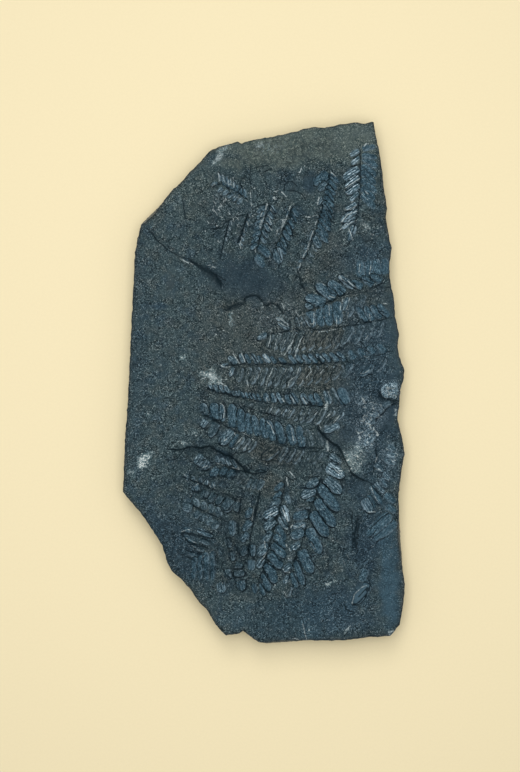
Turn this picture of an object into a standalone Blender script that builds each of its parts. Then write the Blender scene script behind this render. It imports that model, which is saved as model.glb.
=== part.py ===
"""A slab of dark slate with the relief of alethopteris fern fronds on its upper face.

The slab lies flat, fern side up. Its long side runs along Y, and its origin is below the middle
of its box, at the level it rests on. The rock and the fern are one solid: the upper face is a
height field, triangulated along the outlines of the pinnules, the stems and the ledges.
"""

import math

import bmesh
import bpy
import numpy as np
from mathutils import Vector
from mathutils.geometry import delaunay_2d_cdt

# Driving dimensions, in millimetres
SLAB_LENGTH = 240.0
SLAB_THICKNESS = 14.0
DRAWN_LENGTH = 239.6        # length of the slab in the drawing that follows
METRES = 0.001

# The upper face
FACE_LEVEL = 12.1           # its mean height
FACE_WAVES = (              # broad waves: rise, how long along X and along Y, start
    (0.30, 17.0, 41.0, 0.0),
    (0.22, -37.0, 15.0, 1.0),
)
EDGE_ROLL = 1.1             # how far the face falls at its rim
EDGE_ROLL_REACH = 5.0       # how far in from the rim that fall begins
PATCH_CORE = 0.3            # share of a hollow or swelling that has its full depth

# Pinnules
PINNULE_FULLNESS = 1.12     # how much wider than drawn a pinnule is, so that neighbours touch
PINNULE_RISE = 1.05         # dome of a pinnule of relief 1
PINNULE_SHOULDER = 0.45     # share of its half width over which it rises
PINNULE_TILT = 0.30         # extra height of its lower side, a share of the dome
PINNULE_BEND = 0.05         # the most that it bends sideways, a share of its length
RELIEF_RANGE = (0.85, 1.15)
LOWER_SIDE = (0.45, -0.9)   # the direction in which its lower side looks
RIDGE_SHARES = (0.24, 0.74)  # where along it the ridge has its corners
RIDGE_OFFSET = 0.25         # how far the ridge is from its middle, a share of the half width
ROW_SCATTER = 0.12          # how far pinnules stray from their row, a share of the width
GROOVE_DEPTH = 0.35         # groove round a pinnule
GROOVE_HALF_WIDTH = 0.35

# Stems, ledges and cracks
STEM_DEPTH = 0.50
STEM_HALF_WIDTH = 0.7
TROUGH_DEPTH = 0.35         # broad trough on either side of a stem
TROUGH_HALF_WIDTH = 4.5
CRACK_DEPTH = 0.45
CRACK_HALF_WIDTH = 0.5
LEDGE_WALL = 0.6            # how wide the broken wall of a ledge is
LEDGE_FADE = 0.12           # share of its length over which a ledge fades out at either end
CRACK_LEFT = 0.35           # share of its depth that the crack keeps there

# How finely the face is divided
RIM_STEP = 6.5
RIM_RAGGEDNESS = 0.35
STEM_STEP = 4.5
BREAK_STEP = 4.0
BREAK_SHOULDER = 0.8        # distance of the corners on either side of a ledge or crack
OPEN_STEP = 7.5
OPEN_SCATTER = 0.3
ROW_PITCH = math.sqrt(0.75)
LARGE_LENGTH = 7.0          # a pinnule longer and wider than these has more corners
LARGE_HALF_WIDTH = 1.55
LARGE_CORNERS = 8
SMALL_CORNERS = 6
ROLL_LINE = 3.5             # distance from the rim of a line of corners that carries the roll

# How close to an earlier corner the next one may be
CLOSEST_POINTS = 0.42
BREAK_CLEARANCE = 0.5
SHOULDER_CLEARANCE = 0.7
STEM_CLEARANCE = 0.9
RIM_CLEARANCE = 0.9
ROLL_CLEARANCE = 1.6
OPEN_CLEARANCE = 3.2

# Slate
SLATE_COLOUR = (0.055, 0.078, 0.085, 1.0)
SLATE_ROUGHNESS = 0.62

# The drawing, in millimetres: X right and Y up, seen from above, 0, 0 in the middle of the slab

# Outline of the slab, clockwise from its upper right corner
OUTLINE = (
    (50.2, 119.6), (51.3, 113.8), (52.9, 106.9), (54.3, 97.8), (55.2, 88.6), (56.6, 80.4),
    (55.9, 75.8), (57.5, 67.6), (58.6, 62.1), (57.7, 52.9), (57.8, 48.3), (59.5, 40.1),
    (60.2, 33.7), (60.1, 30.9), (62.3, 22.7), (61.4, 17.6), (62.3, 12.1), (64.6, 6.2),
    (64.5, 3.0), (62.7, -3.0), (62.1, -12.1), (61.6, -16.7), (63.7, -25.9), (64.8, -31.8),
    (63.4, -38.7), (62.5, -45.1), (61.8, -53.4), (62.4, -57.0), (62.5, -62.5), (63.4, -76.3),
    (63.9, -85.4), (64.8, -92.3), (64.3, -97.8), (63.4, -104.7), (62.1, -110.6), (59.8, -113.8),
    (57.8, -115.6), (54.5, -116.1), (48.5, -116.3), (41.7, -117.3), (34.8, -117.9), (25.6, -118.2),
    (18.8, -118.4), (15.1, -119.1), (7.3, -119.3), (2.7, -119.8), (-2.3, -119.5), (-4.6, -117.9),
    (-7.3, -115.6), (-9.6, -113.6), (-11.2, -114.7), (-17.4, -115.6), (-20.1, -112.9),
    (-22.4, -110.1), (-26.1, -103.7), (-29.8, -100.5), (-33.4, -95.0), (-37.6, -90.0),
    (-42.6, -85.9), (-44.4, -82.2), (-46.7, -74.4), (-51.3, -67.1), (-56.8, -59.3),
    (-60.7, -54.7), (-64.8, -49.7), (-64.6, -44.2), (-63.9, -25.9), (-63.2, -16.7), (-62.3, -0.7),
    (-61.6, 13.1), (-60.7, 33.7), (-59.8, 49.7), (-59.3, 60.2), (-58.2, 66.6), (-56.8, 73.5),
    (-52.2, 78.1), (-47.6, 82.7), (-42.6, 88.4), (-38.5, 91.8), (-33.9, 97.3), (-30.7, 100.1),
    (-25.2, 106.3), (-21.1, 108.5), (-15.6, 109.9), (-12.0, 110.8), (-10.4, 110.1), (-6.4, 111.3),
    (-0.9, 112.4), (6.9, 113.8), (11.9, 115.0), (19.2, 117.0), (23.8, 117.7), (27.9, 117.3),
    (34.8, 118.9), (43.1, 119.8), (44.9, 119.1), (49.4, 119.8),
)

# How far in from the outline the upper face ends: x, y, reach, inset. Elsewhere it is TOP_INSET.
TOP_INSET = 0.25
BARE_SIDES = (
    (63.0, -73.0, 13.0, 2.3),
    (-52.0, 78.0, 8.0, 1.8),
    (8.0, -119.0, 12.0, 1.6),
)

# Levels of the broken side between the two faces: share of the height, inset, how ragged it is
SIDE_LEVELS = (
    (0.80, 0.15, 1.3),
    (0.58, 0.0, 1.8),
    (0.50, 0.9, 2.3),
    (0.20, 0.5, 2.8),
)
SIDE_WAVE = 0.6             # how far the levels rise and fall
SIDE_WAVE_PACES = (0.9, 0.37)
FOOT_INSET = 1.8
FOOT_RAGGEDNESS = 0.4
FOOT_PACE = 1.7

# Pinnules. Each row: how many, the first one (foot x, y, tip x, y), the last one, width, relief.
# The pinnules between the first and the last follow from them.
PINNULE_ROWS = (
    # Upper left pinna
    (7, (-18.0, 90.2, -19.0, 95.6), (-8.3, 84.6, -9.3, 89.0), 1.5, 0.7),
    (5, (-18.6, 89.3, -21.0, 87.4), (-9.8, 84.6, -12.6, 81.6), 1.8, 0.7),
    (1, (-20.9, 91.6, -24.5, 90.2), None, 1.5, 0.8),
    (1, (-19.8, 91.9, -21.0, 96.5), None, 1.2, 0.8),
    # Two small pinnae above the hollow
    (4, (-15.6, 74.6, -14.8, 72.0), (-17.8, 67.2, -17.0, 64.6), 1.4, 0.7),
    (4, (-16.5, 74.0, -18.6, 72.4), (-18.8, 66.0, -21.0, 64.4), 1.5, 0.5),
    (7, (-7.2, 78.0, -6.0, 75.8), (-11.2, 65.0, -10.2, 62.6), 1.3, 0.8),
    (5, (-8.0, 76.5, -10.3, 75.0), (-11.7, 66.0, -13.8, 64.0), 1.6, 0.6),
    # First pinna of the upper fan
    (7, (1.2, 80.8, -3.2, 77.8), (-3.0, 64.2, -6.4, 61.0), 2.1, 0.8),
    (6, (2.8, 81.3, 5.4, 77.6), (-1.7, 67.5, 1.0, 63.8), 2.0, 0.9),
    (2, (-2.4, 62.8, 2.6, 57.8), (-3.8, 58.6, 0.2, 53.0), 3.2, 0.8),
    # Second pinna of the upper fan
    (1, (12.0, 80.4, 9.6, 75.5), None, 1.2, 0.8),
    (5, (10.6, 76.0, 7.0, 73.5), (5.0, 64.0, 2.0, 61.2), 2.0, 0.5),
    (6, (13.0, 80.0, 15.6, 76.0), (7.8, 67.0, 11.0, 62.0), 2.2, 0.9),
    (1, (6.4, 64.6, 9.8, 58.6), None, 2.8, 0.9),
    (1, (5.4, 62.2, 6.9, 54.6), None, 4.0, 0.9),
    # Third pinna of the upper fan
    (1, (29.4, 96.2, 22.6, 90.6), None, 4.6, 1.0),
    (1, (28.8, 91.8, 24.5, 88.2), None, 3.0, 0.9),
    (1, (27.6, 85.4, 24.4, 81.4), None, 1.4, 0.7),
    (5, (26.4, 80.0, 22.6, 77.6), (22.6, 70.0, 18.8, 67.4), 2.3, 0.4),
    (1, (22.3, 70.0, 20.4, 64.6), None, 1.4, 0.9),
    (1, (20.8, 63.6, 17.9, 61.0), None, 1.3, 0.8),
    (1, (20.0, 61.0, 17.7, 57.0), None, 2.0, 1.0),
    (2, (18.0, 56.4, 15.6, 55.4), (16.9, 53.5, 14.6, 52.8), 1.2, 0.7),
    (11, (29.8, 95.8, 33.6, 91.2), (23.9, 70.4, 29.2, 63.8), 2.3, 0.9),
    (1, (22.7, 67.6, 25.8, 61.8), None, 3.2, 0.8),
    (3, (21.4, 64.0, 24.6, 60.0), (19.0, 58.2, 22.6, 54.8), 1.7, 0.6),
    # Bright pinna at the upper right
    (2, (43.9, 106.6, 39.3, 103.8), (43.9, 103.2, 39.8, 100.4), 2.3, 0.7),
    (1, (43.8, 98.2, 36.2, 93.0), None, 4.0, 1.0),
    (1, (43.8, 94.6, 36.8, 89.5), None, 3.8, 1.0),
    (1, (43.8, 91.2, 37.2, 86.5), None, 3.4, 1.0),
    (1, (43.3, 87.4, 39.2, 83.4), None, 2.2, 0.7),
    (1, (42.4, 82.4, 37.0, 79.5), None, 2.2, 0.9),
    (1, (42.6, 80.0, 35.0, 73.5), None, 3.1, 1.0),
    (1, (42.0, 76.0, 35.0, 70.5), None, 2.2, 0.8),
    (1, (41.5, 72.5, 38.4, 65.0), None, 2.8, 0.9),
    (6, (44.8, 103.4, 51.8, 98.6), (44.2, 86.5, 51.0, 79.5), 3.1, 0.30),
    (2, (44.4, 107.0, 51.4, 108.4), (44.5, 104.4, 52.0, 102.8), 2.6, 0.4),
    # Broad pinnules right of the hollow
    (4, (44.6, 48.4, 43.2, 56.2), (56.0, 49.4, 55.2, 57.8), 3.7, 0.5),
    (3, (45.4, 43.4, 40.0, 47.2), (54.0, 45.8, 48.6, 49.6), 3.0, 0.9),
    (1, (41.2, 43.4, 34.0, 49.8), None, 2.8, 1.0),
    (1, (36.8, 40.8, 29.4, 46.9), None, 4.4, 1.0),
    (1, (32.8, 38.8, 23.4, 45.5), None, 4.5, 1.1),
    (1, (28.2, 36.4, 18.7, 39.6), None, 4.8, 1.1),
    (1, (22.9, 34.9, 18.5, 35.9), None, 2.6, 0.9),
    (4, (21.2, 33.0, 22.4, 25.4), (33.6, 37.4, 33.8, 26.6), 4.2, 0.6),
    (1, (38.8, 39.4, 36.6, 33.0), None, 2.9, 0.8),
    (2, (41.8, 39.6, 38.0, 29.4), (46.0, 41.0, 42.4, 32.6), 3.3, 0.5),
    # Brown-flushed pinna below them
    (4, (46.6, 28.2, 42.8, 35.0), (57.0, 30.4, 51.8, 36.6), 2.9, 0.7),
    (1, (12.6, 26.0, 4.8, 30.0), None, 2.0, 1.0),
    (1, (11.6, 24.6, 6.0, 28.0), None, 1.8, 0.9),
    (3, (16.0, 25.6, 14.0, 30.6), (21.4, 25.8, 18.6, 31.0), 1.9, 0.8),
    (1, (1.6, 22.8, -3.3, 20.4), None, 2.4, 0.7),
    (5, (3.6, 23.2, 1.7, 15.8), (17.6, 24.0, 12.8, 12.4), 3.3, 0.9),
    (5, (21.2, 24.0, 16.8, 14.6), (36.0, 25.4, 30.6, 15.6), 3.6, 0.8),
    (4, (40.0, 26.0, 36.0, 17.2), (54.0, 28.8, 50.6, 20.4), 3.5, 0.4),
    # Long middle pinna
    (1, (-16.0, 8.6, -20.2, 7.8), None, 1.7, 0.8),
    (1, (-12.3, 8.9, -16.3, 12.6), None, 2.8, 0.9),
    (1, (-8.6, 9.2, -11.3, 13.9), None, 2.4, 0.9),
    (1, (-6.2, 9.0, -8.7, 13.8), None, 1.9, 0.9),
    (1, (-2.9, 9.0, -5.6, 13.9), None, 2.1, 0.9),
    (1, (-0.6, 9.0, -2.9, 13.0), None, 1.8, 0.9),
    (1, (3.2, 9.4, -0.4, 13.8), None, 2.4, 1.0),
    (2, (5.6, 9.2, 3.0, 12.6), (10.2, 9.3, 6.2, 12.0), 1.9, 0.8),
    (8, (14.6, 9.0, 10.8, 13.2), (37.2, 10.0, 33.0, 14.4), 2.1, 0.9),
    (4, (41.0, 11.0, 38.4, 15.2), (55.6, 14.4, 51.0, 17.8), 2.8, 0.8),
    (1, (-13.8, 7.6, -15.7, 3.0), None, 2.2, 0.8),
    (8, (-10.5, 7.8, -12.3, 0.0), (16.2, 7.8, 11.0, -2.6), 3.3, 0.9),
    (5, (20.6, 8.0, 15.2, -2.0), (35.8, 8.8, 30.6, 1.0), 3.4, 0.8),
    (3, (40.0, 9.2, 35.6, 2.4), (55.0, 12.0, 51.0, 5.0), 3.1, 0.6),
    (1, (50.0, 8.6, 44.2, 3.4), None, 2.8, 0.8),
    # Pinna under the long middle one
    (4, (-22.8, -3.4, -25.0, 0.2), (-15.8, -5.0, -18.2, -0.6), 2.1, 0.8),
    (3, (-13.4, -5.8, -14.6, -3.0), (-10.2, -6.4, -11.8, -3.0), 1.5, 0.9),
    (5, (-9.0, -6.6, -10.6, -3.8), (-1.4, -8.0, -3.5, -4.4), 1.6, 0.9),
    (3, (1.8, -8.7, 0.6, -3.8), (9.0, -9.3, 5.8, -4.0), 2.4, 0.9),
    (1, (12.4, -9.5, 9.6, -5.0), None, 2.4, 0.9),
    (1, (15.2, -9.4, 12.0, -4.2), None, 2.8, 1.0),
    (1, (20.0, -9.7, 17.0, -4.4), None, 3.0, 1.0),
    (2, (23.2, -10.0, 20.4, -4.8), (26.6, -10.4, 23.0, -4.4), 2.6, 1.0),
    (1, (30.0, -9.6, 27.6, -2.8), None, 2.6, 0.9),
    (1, (33.8, -9.6, 30.8, -1.6), None, 2.6, 0.7),
    (1, (37.6, -9.6, 35.0, -1.6), None, 4.4, 0.7),
    (1, (-4.8, -8.6, -8.8, -10.4), None, 2.2, 0.8),
    (7, (2.6, -10.2, 1.0, -14.0), (24.4, -11.6, 19.4, -18.6), 3.0, 0.9),
    (3, (28.0, -11.6, 23.2, -19.4), (36.0, -12.6, 30.0, -20.4), 3.1, 0.7),
    (1, (34.6, -18.6, 27.2, -22.0), None, 3.2, 0.7),
    # Big blue pinnules left of the middle
    (1, (-26.4, -15.0, -27.9, -8.6), None, 3.4, 0.9),
    (1, (-22.0, -17.0, -23.2, -8.6), None, 4.8, 1.1),
    (1, (-18.9, -17.6, -19.4, -9.0), None, 2.6, 1.1),
    (1, (-13.6, -20.4, -14.6, -9.0), None, 4.6, 1.0),
    (1, (-9.8, -22.4, -10.8, -11.0), None, 4.0, 1.0),
    (4, (-6.2, -23.6, -8.0, -13.0), (4.6, -26.0, 1.6, -16.4), 3.4, 0.8),
    (3, (9.2, -28.0, 6.2, -17.0), (17.4, -29.0, 15.2, -19.2), 3.5, 0.9),
    (2, (21.5, -29.0, 19.0, -21.0), (26.0, -28.8, 23.6, -21.6), 3.2, 0.6),
    (1, (-26.4, -16.4, -28.6, -20.2), None, 3.1, 0.8),
    (1, (-21.2, -17.8, -25.2, -24.6), None, 3.7, 1.0),
    (1, (-13.8, -21.8, -20.6, -28.0), None, 4.6, 1.1),
    (1, (-11.6, -23.2, -15.6, -29.6), None, 2.8, 0.9),
    (3, (-9.2, -23.8, -13.0, -30.4), (-3.8, -25.8, -7.8, -31.4), 2.6, 0.9),
    (1, (6.2, -28.8, -1.2, -34.8), None, 5.0, 0.9),
    (3, (10.6, -29.2, 6.4, -36.0), (17.6, -30.0, 12.8, -37.0), 3.0, 0.8),
    (2, (23.0, -30.4, 18.6, -34.6), (26.6, -31.2, 21.4, -37.0), 2.8, 0.6),
    # Broken pinna below the ledge
    (1, (-27.8, -32.6, -31.4, -37.2), None, 4.2, 0.9),
    (1, (-25.6, -35.0, -27.6, -39.6), None, 3.4, 1.1),
    (1, (-20.6, -38.6, -24.6, -43.0), None, 3.6, 0.9),
    (2, (-16.6, -38.8, -20.2, -42.6), (-13.0, -39.8, -16.6, -43.8), 3.4, 0.9),
    (2, (-9.4, -40.8, -13.2, -45.4), (-5.4, -41.6, -9.0, -46.6), 3.2, 0.7),
    (4, (-20.6, -36.2, -22.0, -33.0), (-12.4, -38.6, -14.6, -34.6), 1.9, 0.8),
    (3, (-5.4, -43.4, -8.2, -48.0), (-0.4, -44.0, -3.2, -48.6), 2.5, 0.7),
    # Second broken pinna
    (5, (-34.0, -44.2, -36.6, -41.4), (-23.6, -47.6, -22.6, -44.6), 1.8, 0.7),
    (1, (-29.6, -46.6, -33.0, -49.0), None, 3.2, 0.9),
    (1, (-26.4, -48.6, -28.2, -52.8), None, 3.0, 0.9),
    (1, (-22.8, -49.8, -25.2, -55.0), None, 3.8, 1.1),
    (1, (-18.8, -51.4, -22.0, -56.0), None, 3.2, 1.0),
    (1, (-14.6, -52.6, -18.6, -58.6), None, 5.0, 1.1),
    (1, (-11.4, -54.0, -13.4, -59.0), None, 3.2, 0.9),
    # Third broken pinna
    (1, (-32.2, -56.0, -37.6, -55.4), None, 5.6, 0.9),
    (4, (-29.4, -58.4, -32.0, -61.8), (-20.6, -62.6, -23.6, -66.4), 3.2, 0.7),
    (4, (-30.4, -56.4, -31.6, -52.2), (-20.0, -60.6, -21.6, -56.4), 2.8, 0.5),
    # Narrow pinnules at the lower left
    (1, (-30.6, -66.6, -23.6, -70.2), None, 2.6, 0.9),
    (1, (-33.2, -67.4, -37.4, -66.4), None, 2.2, 0.7),
    (1, (-36.8, -69.8, -30.8, -73.4), None, 2.2, 0.9),
    (3, (-29.6, -71.4, -24.6, -73.6), (-34.6, -77.6, -29.4, -79.4), 2.2, 0.8),
    (4, (-31.8, -79.0, -32.6, -90.0), (-23.6, -76.0, -22.8, -90.4), 2.6, 0.6),
    # Pinnules scattered left of the fans
    (1, (-14.4, -62.4, -14.6, -70.0), None, 3.0, 0.9),
    (2, (-16.6, -70.6, -15.4, -75.4), (-15.0, -76.4, -14.0, -81.4), 2.8, 1.0),
    (3, (-5.2, -57.0, -8.4, -62.0), (-7.0, -68.0, -10.6, -72.8), 3.0, 1.0),
    (1, (-8.0, -74.0, -10.4, -79.0), None, 3.0, 1.0),
    (1, (-5.2, -73.4, -5.0, -79.4), None, 2.8, 1.0),
    (1, (-13.4, -82.6, -9.4, -83.6), None, 3.0, 1.0),
    (1, (-14.2, -86.8, -8.6, -86.6), None, 3.2, 1.1),
    (1, (-17.4, -84.6, -15.4, -89.4), None, 3.2, 1.0),
    (1, (-10.8, -89.8, -9.6, -94.8), None, 4.0, 1.0),
    (1, (-19.8, -90.6, -19.2, -95.8), None, 4.0, 0.9),
    (1, (-5.8, -80.4, -5.8, -85.6), None, 3.4, 0.7),
    (2, (-4.6, -91.0, -3.8, -96.2), (-1.4, -90.8, 0.0, -97.0), 2.4, 0.8),
    # Left fan
    (1, (9.0, -45.4, 4.6, -49.2), None, 2.4, 0.9),
    (1, (8.2, -49.4, 4.0, -53.4), None, 2.4, 0.9),
    (1, (7.6, -52.6, 2.8, -57.0), None, 3.0, 1.0),
    (1, (6.6, -57.2, -0.4, -61.2), None, 4.2, 1.1),
    (1, (5.4, -61.8, -0.2, -66.6), None, 4.2, 1.1),
    (1, (3.6, -67.4, -0.6, -72.6), None, 3.2, 0.9),
    (1, (2.0, -73.4, -3.4, -78.6), None, 3.8, 1.0),
    (1, (0.2, -79.6, -3.2, -84.4), None, 3.2, 0.9),
    (1, (10.2, -50.8, 11.6, -55.2), None, 2.4, 0.8),
    (1, (8.4, -55.6, 11.4, -63.6), None, 2.9, 1.0),
    (1, (7.2, -60.4, 10.8, -67.0), None, 2.8, 1.0),
    (1, (5.9, -64.8, 9.8, -71.8), None, 3.0, 0.9),
    (1, (4.8, -69.0, 10.2, -75.4), None, 3.1, 1.0),
    (1, (3.8, -72.8, 9.8, -80.0), None, 3.6, 1.0),
    (1, (2.2, -77.2, 8.4, -84.6), None, 4.2, 1.1),
    (1, (0.9, -82.0, 5.8, -91.2), None, 4.2, 1.1),
    (1, (-0.4, -86.8, 3.0, -94.8), None, 3.2, 1.0),
    # Right fan
    (1, (25.8, -37.6, 22.0, -42.2), None, 3.4, 0.8),
    (1, (25.0, -44.0, 19.2, -47.2), None, 3.4, 0.9),
    (1, (23.8, -48.4, 16.6, -51.6), None, 4.0, 1.0),
    (1, (23.2, -52.2, 19.2, -54.2), None, 2.4, 0.8),
    (1, (21.4, -55.6, 14.2, -56.4), None, 3.3, 0.9),
    (1, (20.2, -59.4, 12.8, -61.0), None, 4.0, 0.8),
    (1, (19.4, -64.2, 13.0, -66.0), None, 2.8, 0.8),
    (1, (18.6, -67.4, 12.0, -70.4), None, 4.2, 1.0),
    (1, (16.8, -73.0, 11.2, -76.2), None, 3.2, 0.9),
    (1, (14.8, -77.2, 10.4, -80.6), None, 3.4, 0.8),
    (1, (12.8, -82.6, 8.4, -85.8), None, 3.2, 0.9),
    (1, (11.2, -87.6, 9.0, -91.6), None, 2.2, 0.7),
    (1, (11.6, -92.4, 10.4, -98.0), None, 3.0, 0.8),
    (1, (29.8, -32.8, 35.6, -36.8), None, 3.0, 0.9),
    (1, (28.6, -37.2, 36.6, -43.2), None, 4.8, 1.1),
    (1, (27.6, -43.4, 35.8, -50.0), None, 4.8, 1.1),
    (1, (25.2, -46.4, 33.8, -58.8), None, 4.7, 1.1),
    (1, (23.8, -52.6, 32.2, -66.0), None, 4.8, 1.1),
    (1, (21.6, -58.6, 29.6, -70.0), None, 5.0, 1.1),
    (1, (20.2, -66.0, 26.0, -78.0), None, 4.6, 1.0),
    (1, (16.8, -75.6, 22.0, -87.0), None, 4.8, 1.1),
    (1, (14.6, -81.0, 17.8, -92.6), None, 3.3, 1.0),
    (1, (12.8, -86.2, 15.2, -93.6), None, 2.8, 0.9),
    # Right edge of the slab
    (1, (61.6, -3.0, 53.2, -3.2), None, 6.4, 0.9),
    (3, (57.8, -8.6, 53.0, -11.2), (52.6, -13.6, 47.6, -15.6), 2.8, 0.7),
    (3, (50.8, -16.0, 46.0, -20.0), (50.6, -23.6, 45.0, -28.6), 3.0, 0.7),
    (2, (47.0, -5.0, 42.0, -9.6), (49.6, -9.6, 44.6, -13.6), 3.0, 0.5),
    (3, (56.0, -28.4, 60.6, -30.6), (55.0, -34.6, 60.0, -37.4), 2.6, 0.6),
    (1, (50.4, -36.6, 54.6, -40.2), None, 2.6, 0.9),
    (1, (54.6, -40.4, 57.4, -44.4), None, 2.4, 0.8),
    (2, (53.2, -43.2, 56.4, -47.6), (50.8, -45.0, 54.6, -50.6), 2.4, 0.8),
    (2, (48.6, -46.4, 53.4, -55.4), (46.8, -51.0, 50.6, -57.4), 2.8, 0.9),
    (1, (45.4, -52.4, 49.4, -59.2), None, 3.8, 1.0),
    (2, (55.0, -50.6, 60.0, -54.6), (55.6, -55.4, 60.6, -59.0), 3.0, 0.6),
    (1, (60.6, -63.0, 50.2, -71.6), None, 4.0, 0.5),
    (1, (58.0, -59.6, 46.4, -69.4), None, 4.8, 0.7),
    (1, (48.0, -91.6, 40.9, -100.8), None, 4.4, 1.3),
    (1, (46.4, -84.6, 44.4, -90.4), None, 3.6, 0.4),
)

# Stems, each from its thick end to its tip or the other way round
STEMS = (
    ((-7.5, 84.0), (-10.5, 86.2), (-13.5, 88.0), (-16.5, 89.2), (-20.0, 91.3), (-24.4, 89.0)),
    ((-16.2, 74.3), (-17.0, 69.5), (-18.2, 65.5), (-19.0, 61.5), (-19.8, 58.0)),
    ((-7.5, 77.5), (-8.8, 72.0), (-10.2, 67.0), (-11.4, 64.5)),
    ((2.8, 81.3), (1.9, 79.0), (1.0, 76.5), (0.3, 74.0), (-0.6, 71.0), (-1.8, 66.0), (-3.4, 61.0),
     (-5.2, 55.5)),
    ((13.0, 80.7), (10.9, 74.1), (8.2, 69.2), (6.4, 65.4), (4.7, 61.3), (2.0, 53.4)),
    ((30.2, 98.4), (29.3, 91.0), (28.3, 86.5), (26.5, 79.5), (24.6, 73.0), (22.5, 66.5), (21.3, 62.5),
     (19.4, 59.6), (17.0, 53.6), (14.6, 48.4), (13.2, 46.0)),
    ((16.2, 51.6), (16.4, 47.0), (18.8, 43.2)),
    ((43.8, 108.0), (44.2, 99.0), (44.0, 90.0), (43.2, 80.6), (41.8, 73.0), (39.8, 66.4), (38.4, 62.6)),
    ((17.6, 33.0), (20.0, 32.8), (22.5, 34.0), (25.0, 35.4), (31.0, 38.2), (33.5, 39.7), (37.0, 40.6),
     (41.0, 41.0), (45.0, 41.5), (48.0, 43.0), (51.0, 44.2), (57.5, 44.0)),
    ((2.6, 22.8), (8.0, 23.2), (13.4, 24.8), (19.4, 25.0), (25.4, 24.6), (31.4, 25.4), (38.0, 26.4),
     (44.0, 27.0), (50.0, 28.6), (58.4, 30.0)),
    ((-17.6, 8.2), (-12.0, 8.6), (-4.0, 8.4), (4.0, 8.6), (11.0, 9.2), (18.0, 8.7), (26.0, 9.0),
     (34.0, 9.6), (42.0, 10.6), (50.0, 12.2), (59.0, 15.0)),
    ((-25.6, -2.8), (-20.0, -4.6), (-13.0, -6.0), (-8.0, -7.0), (-2.0, -8.4), (4.0, -9.4),
     (11.0, -9.9), (19.0, -10.0), (27.0, -10.6), (34.0, -10.4)),
    ((-9.6, -10.2), (-5.0, -12.0), (0.0, -13.4), (5.0, -14.8), (11.0, -16.6)),
    ((-29.4, -14.4), (-25.0, -15.4), (-20.4, -17.8), (-15.6, -20.2), (-10.6, -22.8), (-5.6, -24.9),
     (0.0, -25.6), (5.0, -27.0), (11.0, -28.8), (18.0, -29.6), (27.0, -29.8)),
    ((-24.4, -36.0), (-20.4, -36.8), (-16.0, -38.2), (-11.4, -39.8), (-5.4, -41.2), (0.6, -41.0)),
    ((-37.4, -42.6), (-33.4, -44.4), (-28.6, -46.2), (-23.0, -48.2), (-17.8, -50.6), (-12.0, -53.0)),
    ((-36.0, -52.8), (-31.4, -56.6), (-26.2, -58.8), (-20.8, -61.4), (-16.6, -63.4)),
    ((-37.8, -68.2), (-33.8, -69.2), (-28.8, -70.8), (-24.2, -72.6)),
    ((-37.6, -68.4), (-34.8, -72.4), (-30.6, -74.2), (-25.4, -75.4)),
    ((-36.6, -75.8), (-33.0, -77.4), (-28.8, -78.2)),
    ((-38.2, -77.8), (-34.6, -79.4), (-31.2, -81.2)),
    ((-10.5, -52.4), (-11.0, -57.2), (-11.2, -61.3), (-12.0, -65.3), (-11.5, -68.4), (-12.4, -73.4),
     (-11.2, -78.2)),
    ((-2.1, -50.0), (-2.9, -53.4), (-3.9, -57.4), (-4.6, -63.3), (-5.9, -69.4), (-6.9, -75.0), (-7.4, -78.6)),
    ((10.2, -42.0), (9.4, -47.6), (8.2, -53.4), (6.6, -59.0), (5.2, -64.2), (3.8, -69.6), (2.0, -75.2),
     (0.6, -80.0), (-0.4, -85.0), (-2.4, -90.4)),
    ((26.6, -41.0), (25.2, -45.8), (23.6, -51.2), (21.6, -57.4), (20.0, -63.2), (18.6, -69.0),
     (16.4, -74.6), (14.4, -79.6), (12.6, -84.6), (11.2, -89.6)),
)

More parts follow.
